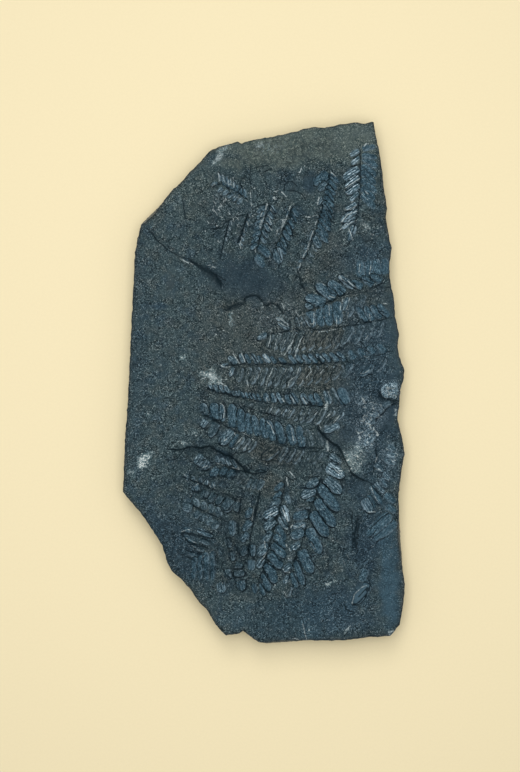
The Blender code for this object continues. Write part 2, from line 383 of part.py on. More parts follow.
# Ledges and cracks: points, drop, reach. The ground on the right of the line, as one walks
# along it, lies lower by the drop, and comes back to level over the reach.
BREAKS = (
    (((-19.8, 44.3), (-20.0, 46.4), (-21.4, 48.4), (-23.6, 50.4), (-26.6, 52.0), (-29.2, 53.8),
      (-31.6, 54.4), (-34.4, 56.6)), 1.0, 16.0),
    (((-33.0, 56.6), (-39.0, 58.2), (-43.4, 60.6), (-46.4, 63.2), (-49.2, 66.0), (-53.0, 70.6)), 0.3, 12.0),
    (((9.0, 31.6), (7.2, 34.2), (5.0, 36.4), (3.5, 36.4), (2.2, 35.7), (0.8, 35.7), (-0.4, 36.6),
      (-1.2, 38.2), (-2.3, 39.8), (-3.5, 40.3), (-6.5, 39.8), (-8.6, 39.3), (-8.9, 37.0), (-9.8, 36.2),
      (-12.0, 36.1), (-14.0, 35.5), (-16.0, 34.4), (-17.2, 33.5), (-18.4, 34.0)), 1.1, 14.0),
    (((-43.8, -30.2), (-39.0, -30.1), (-36.4, -29.6), (-34.6, -28.8), (-31.4, -29.4), (-28.0, -29.2),
      (-25.0, -28.7), (-23.3, -29.6), (-21.8, -30.7), (-20.0, -30.8),
      (-18.4, -32.2), (-16.2, -32.8), (-14.4, -34.1), (-12.0, -35.6), (-10.0, -37.5),
      (-8.0, -40.0), (-4.0, -41.3), (0.5, -40.6)), 1.1, 22.0),
    (((23.2, -17.2), (24.8, -19.8), (26.4, -22.6), (28.8, -25.2), (31.4, -27.2), (34.4, -29.8),
      (36.6, -33.4), (38.6, -37.6), (40.6, -41.4), (43.2, -42.9), (46.0, -44.0), (49.5, -46.0)), 0.9, 12.0),
    (((49.8, -41.0), (50.4, -37.0), (51.5, -33.0), (51.2, -29.0)), 0.5, 8.0),
    (((52.3, -3.0), (53.0, -5.6), (56.0, -7.0), (58.2, -8.0), (61.4, -7.8)), 0.8, 8.0),
    (((50.8, -18.0), (52.0, -15.5), (54.8, -13.0), (57.5, -10.0), (61.0, -8.6)), 0.7, 10.0),
    (((48.6, -91.6), (47.2, -88.0), (47.0, -84.5)), 0.4, 5.0),
    (((-36.0, 75.4), (-36.4, 78.0), (-36.9, 82.0), (-37.0, 85.5)), 0.4, 7.0),
)

# Shallow hollows and swellings: x, y, half length, half width, turn in degrees, rise
PATCHES = (
    (-8.0, 47.5, 17.0, 10.0, -12.0, -0.55),
    (43.0, -70.0, 11.0, 2.6, 88.0, -1.0),
    (56.5, -15.5, 6.5, 5.5, 50.0, -0.5),
    (43.0, -35.0, 9.0, 6.5, 70.0, 0.45),
    (-27.5, -37.5, 7.0, 5.0, -20.0, 0.45),
    (30.0, 108.0, 22.0, 6.0, 8.0, 0.35),
    (-50.0, 5.0, 10.0, 60.0, 0.0, 0.30),
    (30.0, -104.0, 24.0, 9.0, 0.0, -0.25),
    (-8.0, -70.0, 5.0, 18.0, 0.0, -0.30),
    (57.5, -92.0, 3.0, 22.0, 2.0, 0.45),
)


def smooth(share):
    """Goes from 0 to 1 with no corner at either end."""
    share = np.clip(share, 0.0, 1.0)
    return share * share * (3.0 - 2.0 * share)


def bell(distance, half_width):
    """Is 1 at no distance and fades out beyond the half width."""
    return np.exp(-(distance / half_width) ** 2)


class Pinnule:
    """One leaflet: a tongue with a round tip, domed, with its lower side the higher one."""

    TIP_SHARE = 0.38
    FOOT_SHARE = 0.14

    def __init__(self, foot, tip, width, relief, generator):
        self.foot = np.array(foot)
        along = np.array(tip) - self.foot
        self.length = math.hypot(along[0], along[1])
        self.along = along / self.length
        self.across = np.array((-self.along[1], self.along[0]))
        self.half_width = width / 2.0 * PINNULE_FULLNESS
        self.relief = relief * generator.uniform(*RELIEF_RANGE)
        self.bend = generator.uniform(-PINNULE_BEND, PINNULE_BEND) * self.length
        lower_side = self.across @ np.array(LOWER_SIDE)
        self.lower_side = 1.0 if lower_side > 0.0 else -1.0

    def point(self, share, offset):
        """The place at a share of the length, and at an offset in half widths."""
        shift = self.bend * share * share + offset * self.half_width
        return self.foot + self.along * (share * self.length) + self.across * shift

    def outline(self):
        """The corners of its outline."""
        large = self.length > LARGE_LENGTH and self.half_width > LARGE_HALF_WIDTH
        count = LARGE_CORNERS if large else SMALL_CORNERS
        points = []
        for step in range(count):
            angle = math.tau * (step + 0.5) / count
            if math.cos(angle) > 0.0:
                share = 1.0 - self.TIP_SHARE + self.TIP_SHARE * math.cos(angle)
            else:
                share = self.FOOT_SHARE + self.FOOT_SHARE * math.cos(angle)
            points.append(self.point(share, math.sin(angle)))
        return points

    def measure(self, x, y):
        """How far out a place is, 1 on the outline, and its side, 1 on the lower edge."""
        dx = x - self.foot[0]
        dy = y - self.foot[1]
        share = (dx * self.along[0] + dy * self.along[1]) / self.length
        shift = dx * self.across[0] + dy * self.across[1]
        offset = (shift - self.bend * share * np.abs(share)) / self.half_width
        past_tip = (share - 1.0 + self.TIP_SHARE) / self.TIP_SHARE
        past_foot = (self.FOOT_SHARE - share) / self.FOOT_SHARE
        lengthways = np.maximum(np.maximum(past_tip, past_foot), 0.0)
        return np.hypot(lengthways, offset), offset * self.lower_side


def make_pinnules():
    """Every pinnule, from the rows drawn above."""
    generator = np.random.RandomState(11)
    pinnules = []
    for count, first, last, width, relief in PINNULE_ROWS:
        ends = np.array((first, last or first))
        for step in range(count):
            share = step / (count - 1) if count > 1 else 0.0
            place = ends[0] + (ends[1] - ends[0]) * share
            if count > 1:
                place = place + generator.uniform(-ROW_SCATTER, ROW_SCATTER, 4) * width
            pinnules.append(Pinnule(place[:2], place[2:], width, relief, generator))
    return pinnules


def walk(points, step):
    """Points along a line, no further apart than the step."""
    places = []
    for start, end in zip(points[:-1], points[1:]):
        start, end = np.array(start), np.array(end)
        count = max(1, round(math.dist(start, end) / step))
        places += [start + (end - start) * k / count for k in range(count)]
    places.append(np.array(points[-1]))
    return places


def line_distance(points, x, y):
    """Distance to a line, the share of its length at the nearest place, and if that is right."""
    best = np.full(x.shape, np.inf)
    share = np.zeros(x.shape)
    right = np.zeros(x.shape, dtype=bool)
    lengths = [math.dist(a, b) for a, b in zip(points[:-1], points[1:])]
    done = 0.0
    for (ax, ay), (bx, by), length in zip(points[:-1], points[1:], lengths):
        ux, uy = (bx - ax) / length, (by - ay) / length
        along = np.clip((x - ax) * ux + (y - ay) * uy, 0.0, length)
        gap = np.hypot(x - ax - ux * along, y - ay - uy * along)
        nearer = gap < best - 1e-9
        best = np.where(nearer, gap, best)
        share = np.where(nearer, (done + along) / sum(lengths), share)
        right = np.where(nearer, (x - ax) * uy - (y - ay) * ux > 0.0, right)
        done += length
    return best, share, right


def ground(x, y):
    """Height of the rock before the fern: broad waves, patches, ledges and cracks."""
    height = np.full(x.shape, FACE_LEVEL)
    for rise, along_x, along_y, start in FACE_WAVES:
        height += rise * np.sin(x / along_x + y / along_y + start)
    for px, py, half_length, half_width, turn, rise in PATCHES:
        turn = math.radians(turn)
        dx, dy = x - px, y - py
        u = (dx * math.cos(turn) + dy * math.sin(turn)) / half_length
        v = (dy * math.cos(turn) - dx * math.sin(turn)) / half_width
        height += rise * (1.0 - smooth(np.hypot(u, v) - PATCH_CORE))
    for points, drop, reach in BREAKS:
        gap, share, right = line_distance(points, x, y)
        ends = smooth(np.minimum(share, 1.0 - share) / LEDGE_FADE)
        wall = smooth(gap / LEDGE_WALL)
        height -= np.where(right, drop * ends * wall * np.exp(-gap / reach), 0.0)
        depth = CRACK_DEPTH * (CRACK_LEFT + (1.0 - CRACK_LEFT) * ends)
        height -= depth * bell(gap, CRACK_HALF_WIDTH)
    return height


def face_height(x, y, pinnules):
    """Height of the upper face at each place."""
    height = ground(x, y)
    rise = np.zeros(x.shape)
    groove = np.zeros(x.shape)
    for pinnule in pinnules:
        size, side = pinnule.measure(x, y)
        inside = size < 1.0
        dome = smooth((1.0 - size) / PINNULE_SHOULDER) * (1.0 + PINNULE_TILT * side)
        edge = bell((size - 1.0) * pinnule.half_width, GROOVE_HALF_WIDTH)
        edge = edge * min(1.0, pinnule.relief)
        rise = np.where(inside, dome * PINNULE_RISE * pinnule.relief, rise)
        groove = np.where(inside, edge, np.maximum(groove, edge))
    stem = np.full(x.shape, np.inf)
    for points in STEMS:
        stem = np.minimum(stem, line_distance(points, x, y)[0])
    height -= TROUGH_DEPTH * bell(stem, TROUGH_HALF_WIDTH)
    height -= STEM_DEPTH * bell(stem, STEM_HALF_WIDTH)
    return height + rise - GROOVE_DEPTH * groove


def rim_points():
    """The outline with its long stretches broken up, and the inset of the upper face there."""
    generator = np.random.RandomState(23)
    closed = OUTLINE + OUTLINE[:1]
    corners = set(OUTLINE)
    rim = []
    for place in walk(closed, RIM_STEP)[:-1]:
        if tuple(place) not in corners:
            place = place * (1.0 - generator.uniform(0.0, RIM_RAGGEDNESS) / math.hypot(*place))
        rim.append(place)
    insets = []
    for place in rim:
        inset = TOP_INSET
        for x, y, reach, depth in BARE_SIDES:
            near = float(bell(math.dist(place, (x, y)), reach))
            inset += (depth - TOP_INSET) * near
        insets.append(inset)
    return np.array(rim), np.array(insets)


def drawn_in(rim, inset):
    """The outline moved towards the middle of the slab."""
    radius = np.hypot(rim[:, 0], rim[:, 1])
    return rim * (1.0 - inset / radius)[:, None]


def inside_outline(x, y, outline):
    """Whether each place is inside a closed line."""
    inside = np.zeros(x.shape, dtype=bool)
    for (ax, ay), (bx, by) in zip(outline, np.roll(outline, -1, axis=0)):
        if ay == by:
            continue
        crosses = (ay > y) != (by > y)
        inside ^= crosses & (x < ax + (y - ay) * (bx - ax) / (by - ay))
    return inside


def rim_distance(x, y, outline):
    """Distance of each place to a closed line."""
    return line_distance([tuple(place) for place in np.vstack((outline, outline[:1]))], x, y)[0]


class Scatter:
    """Collects places on the face, leaving out any that is too close to an earlier one."""

    CELL = 4.0

    def __init__(self):
        self.places = []
        self.cells = {}

    def add(self, place, clearance=CLOSEST_POINTS):
        column, row = math.floor(place[0] / self.CELL), math.floor(place[1] / self.CELL)
        for i in (column - 1, column, column + 1):
            for j in (row - 1, row, row + 1):
                for other in self.cells.get((i, j), ()):
                    if math.dist(place, other) < clearance:
                        return
        self.places.append((float(place[0]), float(place[1])))
        self.cells.setdefault((column, row), []).append(self.places[-1])


def shape_points(scatter, pinnules):
    """The corners on what shapes the face: pinnules, stems, ledges and cracks."""
    for pinnule in pinnules:
        for share in RIDGE_SHARES:
            scatter.add(pinnule.point(share, RIDGE_OFFSET * pinnule.lower_side))
    for pinnule in pinnules:
        for place in pinnule.outline():
            scatter.add(place)
    for points in STEMS:
        for place in walk(points, STEM_STEP):
            scatter.add(place, STEM_CLEARANCE)
    for points, _, _ in BREAKS:
        course = walk(points, BREAK_STEP)
        for place in course:
            scatter.add(place, BREAK_CLEARANCE)
        for start, end in zip(course[:-1], course[1:]):
            side = np.array((start[1] - end[1], end[0] - start[0])) / math.dist(start, end)
            for shift in (BREAK_SHOULDER, -BREAK_SHOULDER):
                scatter.add((start + end) / 2.0 + side * shift, SHOULDER_CLEARANCE)


def open_points(scatter):
    """The corners of the open rock in between, in rows with a little disorder."""
    generator = np.random.RandomState(5)
    half = 0.5 * DRAWN_LENGTH
    for row, y in enumerate(np.arange(-half, half, OPEN_STEP * ROW_PITCH)):
        for x in np.arange(-half, half, OPEN_STEP) + (row % 2) * OPEN_STEP / 2.0:
            shift = generator.uniform(-OPEN_SCATTER, OPEN_SCATTER, 2) * OPEN_STEP
            scatter.add(np.array((x, y)) + shift, OPEN_CLEARANCE)


def face_points(top_rim, pinnules):
    """Where the upper face has its corners inside its rim."""
    scatter = Scatter()
    shape_points(scatter, pinnules)
    for place in drawn_in(top_rim, np.full(len(top_rim), ROLL_LINE)):
        scatter.add(place, ROLL_CLEARANCE)
    open_points(scatter)
    places = np.array(scatter.places)
    kept = inside_outline(places[:, 0], places[:, 1], top_rim)
    kept &= rim_distance(places[:, 0], places[:, 1], top_rim) > RIM_CLEARANCE
    return places[kept]


def slab_mesh():
    """The closed solid: the triangulated face, the broken sides and the flat foot."""
    pinnules = make_pinnules()
    rim, insets = rim_points()
    count = len(rim)
    top_rim = drawn_in(rim, insets)
    points = np.vstack((top_rim, face_points(top_rim, pinnules)))
    edges = [(k, (k + 1) % count) for k in range(count)]
    corners, _, triangles, *_ = delaunay_2d_cdt([Vector(p) for p in points], edges, [], 1, 1e-6)
    flat = np.array([tuple(corner) for corner in corners])
    height = face_height(flat[:, 0], flat[:, 1], pinnules)
    rim_gap = rim_distance(flat[:, 0], flat[:, 1], top_rim)
    height -= EDGE_ROLL * (1.0 - smooth(rim_gap / EDGE_ROLL_REACH)) ** 2
    height = np.minimum(height, SLAB_THICKNESS)
    vertices = [(x, y, z) for (x, y), z in zip(flat, height)]
    faces = [tuple(triangle) for triangle in triangles]

    around = np.arange(count)
    upper = list(range(count))
    slow, quick = SIDE_WAVE_PACES
    wave = SIDE_WAVE * (np.sin(around * slow) + np.sin(around * quick + 2.0)) / 2.0
    for level, (share, inset, pace) in enumerate(SIDE_LEVELS):
        shift = inset * (1.0 + np.sin(around * pace + level)) / 2.0
        ring = drawn_in(rim, shift)
        tops = height[:count] * share + wave
        lower = list(range(len(vertices), len(vertices) + count))
        vertices += [(x, y, z) for (x, y), z in zip(ring, tops)]
        faces += side_faces(upper, lower)
        upper = lower
    foot = drawn_in(rim, FOOT_INSET + FOOT_RAGGEDNESS * np.sin(around * FOOT_PACE))
    lower = list(range(len(vertices), len(vertices) + count))
    vertices += [(x, y, 0.0) for x, y in foot]
    faces += side_faces(upper, lower)
    faces.append(tuple(lower))
    return vertices, faces


def side_faces(upper, lower):
    """The band of triangles between two rings of vertices."""
    faces = []
    for k, start in enumerate(upper):
        following = (k + 1) % len(upper)
        faces.append((start, upper[following], lower[following]))
        faces.append((start, lower[following], lower[k]))
    return faces


def slate_material():
    """Dark blue-grey slate."""
    material = bpy.data.materials.new("slate")
    material.use_nodes = True
    shader = material.node_tree.nodes["Principled BSDF"]
    shader.inputs["Base Color"].default_value = SLATE_COLOUR
    shader.inputs["Roughness"].default_value = SLATE_ROUGHNESS
    shader.inputs["Metallic"].default_value = 0.0
    return material


def build_slab():
    """The slab as one object, resting on its flat foot."""
    vertices, faces = slab_mesh()
    unit = METRES * SLAB_LENGTH / DRAWN_LENGTH
    mesh = bpy.data.meshes.new("fossil_slab")
    mesh.from_pydata([(x * unit, y * unit, z * METRES) for x, y, z in vertices], [], faces)
    shell = bmesh.new()
    shell.from_mesh(mesh)
    bmesh.ops.triangulate(shell, faces=[face for face in shell.faces if len(face.verts) > 3])
    bmesh.ops.recalc_face_normals(shell, faces=shell.faces)
    shell.to_mesh(mesh)
    shell.free()
    mesh.materials.append(slate_material())
    slab = bpy.data.objects.new("fossil_slab", mesh)
    bpy.context.scene.collection.objects.link(slab)
    return slab


for leftover in list(bpy.data.objects):
    bpy.data.objects.remove(leftover)
build_slab()
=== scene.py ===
"""The looks of a slab of dark slate with the relief of alethopteris fern fronds.

The slab lies on a cream surface and is seen from straight above. One closed mesh replaces the
plain solid: it follows the same drawing of pinnules, stems, ledges and cracks, with a finer
relief, layered broken sides and a split underside. Values that the material needs at each place,
such as how silvery the film on a pinnule is, are stored on the mesh as named attributes. Some of
them paint light and shade into the colour: painted sheen on the film, painted highlights along the
raised edges of pinnules, and painted shade in grooves, creases, cracks, hollows and at the foot of
ledges.
"""

import math

import bmesh
import bpy
import numpy as np
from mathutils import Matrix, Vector
from mathutils.geometry import delaunay_2d_cdt


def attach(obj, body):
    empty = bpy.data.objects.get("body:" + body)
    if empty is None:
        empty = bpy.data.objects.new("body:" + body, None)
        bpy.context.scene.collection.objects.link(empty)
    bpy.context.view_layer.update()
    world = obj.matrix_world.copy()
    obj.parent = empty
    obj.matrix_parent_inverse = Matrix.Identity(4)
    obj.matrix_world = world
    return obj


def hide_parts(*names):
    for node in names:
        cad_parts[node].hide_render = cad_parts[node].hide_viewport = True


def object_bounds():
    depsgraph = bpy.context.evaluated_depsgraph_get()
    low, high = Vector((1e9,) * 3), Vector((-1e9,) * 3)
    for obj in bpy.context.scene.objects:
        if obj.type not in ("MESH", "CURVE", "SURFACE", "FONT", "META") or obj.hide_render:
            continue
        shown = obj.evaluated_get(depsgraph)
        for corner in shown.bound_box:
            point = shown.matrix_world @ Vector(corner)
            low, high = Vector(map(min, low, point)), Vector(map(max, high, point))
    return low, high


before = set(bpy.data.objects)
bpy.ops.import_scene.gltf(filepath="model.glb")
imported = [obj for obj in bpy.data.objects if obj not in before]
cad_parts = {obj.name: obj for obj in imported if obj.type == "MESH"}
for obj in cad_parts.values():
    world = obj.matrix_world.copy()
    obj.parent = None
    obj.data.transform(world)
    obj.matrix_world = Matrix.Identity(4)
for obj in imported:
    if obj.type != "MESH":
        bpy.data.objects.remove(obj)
cad_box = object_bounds()

# The drawing's unit is a millimetre. X is right and Y is up, seen from above, and 0, 0 is the
# middle of the slab.
METRES = 0.001
SLAB_LENGTH = 240.0
DRAWN_LENGTH = 239.6
DRAWN_UNIT = METRES * SLAB_LENGTH / DRAWN_LENGTH    # one unit of the drawing, in metres

# Relief, in millimetres
FACE_LEVEL = 12.1           # mean height of the upper face
EDGE_ROLL = 1.1             # how far the face falls at its rim
EDGE_ROLL_REACH = 5.0       # how far in from the rim that fall begins
SWELLS = ((0.30, 17.0, 41.0, 0.0), (0.22, -37.0, 15.0, 1.0))    # height, x and y length, phase
UNEVENNESS = ((7.0, 0.10), (2.9, 0.09), (1.3, 0.06))            # size of a wave, its height
WRINKLE_STEP = 1.7          # wrinkles of the rock among the fern
WRINKLE_HEIGHT = 0.16
GRIT = 0.045                # how rough the broken rock is
PINNULE_FULLNESS = 1.12     # how much wider than drawn a pinnule is, so that neighbours touch
PINNULE_RISE = 1.00         # height of a pinnule of relief 1
PINNULE_TILT = 0.34         # extra height of its lower side, a share of the rise
PINNULE_SHOULDER = 0.60     # how far in from its outline it rises
GROOVE_DEPTH = 0.24         # groove round a pinnule
GROOVE_HALF_WIDTH = 0.28
MIDRIB_DEPTH = 0.16         # groove along the middle of a pinnule
MIDRIB_HALF_WIDTH = 0.26
RIB_STEP = 1.15             # from one lengthways rib to the next
RIB_HEIGHT = 0.10
RELIEF_RANGE = (0.85, 1.15)     # by how much pinnules differ in relief, at random
BEND_RANGE = (-0.05, 0.05)      # and how far their tips bend aside, in lengths
PLACE_RANGE = (-0.12, 0.12)     # and how far those of a row are off their places, in widths
CROWN_WIDTH = 0.40          # how far in from its outline a pinnule's ribs and film are whole
# Film and a painted highlight, in a streak along the raised lower edge of a pinnule
STREAK_INSET = 0.40         # bright streak along its lower edge
STREAK_HALF_WIDTH = 0.24
PINNULE_MARGIN = 1.5        # how far beyond a pinnule its groove and its dark line can reach
STEM_DEPTH = 0.34           # sunken stem
STEM_HALF_WIDTH = 0.5
STEM_RAGGEDNESS = 0.26
TROUGH_DEPTH = 0.35         # broad trough on either side of a stem
TROUGH_HALF_WIDTH = 4.5
CRACK_DEPTH = 0.45
CRACK_HALF_WIDTH = 0.5
WALL_WIDTH = 0.45           # how far a ledge takes to drop
FOOT_SHADE_REACH = 1.8      # how far the dark at the foot of a ledge reaches
BREAK_RAGGEDNESS = 0.36
BREAK_END_SHARE = 0.12      # share of a ledge's length over which it begins and ends
CREASE_DEPTH = 0.16
CREASE_HALF_WIDTH = 0.4
MARK_MARGIN = 1.2           # how far beyond a crease or bright stroke it can reach
SPOT_LENGTH = 0.2

# How finely the surface is divided, in millimetres
RIM_STEP = 0.75
OUTLINE_STEP = 0.60
STEM_STEP = 0.65
BREAK_STEP = 0.60
CREASE_STEP = 0.50
FERN_STEP = 0.70
OPEN_STEP = 0.95
UNDERSIDE_STEP = 3.4
UNDERSIDE_MARGIN = 1.2
CLOSEST_POINTS = 0.30
LINE_CLEARANCE = 0.22
FERN_CLEARANCE = 0.42
OPEN_CLEARANCE = 0.62
RIM_CLEARANCE = 0.35
OUTLINE_SHIFTS = (-0.02, -0.32, 0.30)       # rings of corners, beyond a pinnule's outline
BREAK_SHIFTS = (-1.0, -0.45, 0.45, 1.0)     # rows of corners, beside a ledge or crack
PLAIN_RIBS = 0.8            # ribs no stronger than this get no corners of their own
ROW_SPACING = 0.87          # from one row of evenly spread corners to the next, in steps
WIDTH_SHARE = 0.56          # those rows' length, as a share of the slab's
INSIDE_EDGES = 1            # the kind of triangulation that stops at its ring of edges
MERGE_DISTANCE = 1e-6
TIE = 1e-9                  # distances closer than this count as the same
SHARP_ANGLE = 50.0          # between faces, in degrees: from here on their edge is sharp

# Shares of the slab's height at which the broken side has a ring of corners
SIDE_SHARES = (0.94, 0.88, 0.81, 0.75, 0.68, 0.62, 0.55, 0.48, 0.41, 0.34, 0.27, 0.19, 0.11, 0.04)

# Seeds of the random patterns
PINNULE_SEED = 11
FACE_SEED = 3
RAGGED_SEED = 37
RIM_SEED = 29
LUMP_SEED = 17
GRIT_SEED = 41
GLITTER_SEED = 61
FACE_POINTS_SEED = 5
UNDERSIDE_SEED = 7

# What the mesh tells the material about each place: the names of its attributes. The film value
# also holds painted sheen, edge holds film and a painted highlight along raised pinnule edges, and
# shade and line hold painted shade.
FACE_VALUES = (
    "film", "edge", "gleam", "shade", "line", "warm", "olive", "ink", "smooth", "pale", "glitter",
    "leaf", "blue", "rib", "rough", "along", "across")
SIDE_VALUES = ("broken",)

# Outline of the slab, clockwise from its upper right corner: x, y, x, y and so on
OUTLINE = (
    50.2, 119.6, 51.3, 113.8, 52.9, 106.9, 54.3, 97.8, 55.2, 88.6, 56.6, 80.4, 55.9, 75.8, 57.5, 67.6,
    58.6, 62.1, 57.7, 52.9, 57.8, 48.3, 59.5, 40.1, 60.2, 33.7, 60.1, 30.9, 62.3, 22.7, 61.4, 17.6,
    62.3, 12.1, 64.6, 6.2, 64.5, 3.0, 62.7, -3.0, 62.1, -12.1, 61.6, -16.7, 63.7, -25.9, 64.8, -31.8,
    63.4, -38.7, 62.5, -45.1, 61.8, -53.4, 62.4, -57.0, 62.5, -62.5, 63.4, -76.3, 63.9, -85.4,
    64.8, -92.3, 64.3, -97.8, 63.4, -104.7, 62.1, -110.6, 59.8, -113.8, 57.8, -115.6, 54.5, -116.1,
    48.5, -116.3, 41.7, -117.3, 34.8, -117.9, 25.6, -118.2, 18.8, -118.4, 15.1, -119.1, 7.3, -119.3,
    2.7, -119.8, -2.3, -119.5, -4.6, -117.9, -7.3, -115.6, -9.6, -113.6, -11.2, -114.7, -17.4, -115.6,
    -20.1, -112.9, -22.4, -110.1, -26.1, -103.7, -29.8, -100.5, -33.4, -95.0, -37.6, -90.0,
    -42.6, -85.9, -44.4, -82.2, -46.7, -74.4, -51.3, -67.1, -56.8, -59.3, -60.7, -54.7, -64.8, -49.7,
    -64.6, -44.2, -63.9, -25.9, -63.2, -16.7, -62.3, -0.7, -61.6, 13.1, -60.7, 33.7, -59.8, 49.7,
    -59.3, 60.2, -58.2, 66.6, -56.8, 73.5, -52.2, 78.1, -47.6, 82.7, -42.6, 88.4, -38.5, 91.8,
    -33.9, 97.3, -30.7, 100.1, -25.2, 106.3, -21.1, 108.5, -15.6, 109.9, -12.0, 110.8, -10.4, 110.1,
    -6.4, 111.3, -0.9, 112.4, 6.9, 113.8, 11.9, 115.0, 19.2, 117.0, 23.8, 117.7, 27.9, 117.3,
    34.8, 118.9, 43.1, 119.8, 44.9, 119.1, 49.4, 119.8,
)

# How far in from the outline the upper face ends, and where the broken side shows more: x, y,
# reach, inset
TOP_INSET = 0.15
BARE_SIDES = (
    (63.0, -73.0, 13.0, 2.3),
    (-52.0, 78.0, 8.0, 1.8),
    (8.0, -119.0, 12.0, 1.6),
)
FOOT_INSET = 1.8            # how far in the foot of the broken side lies

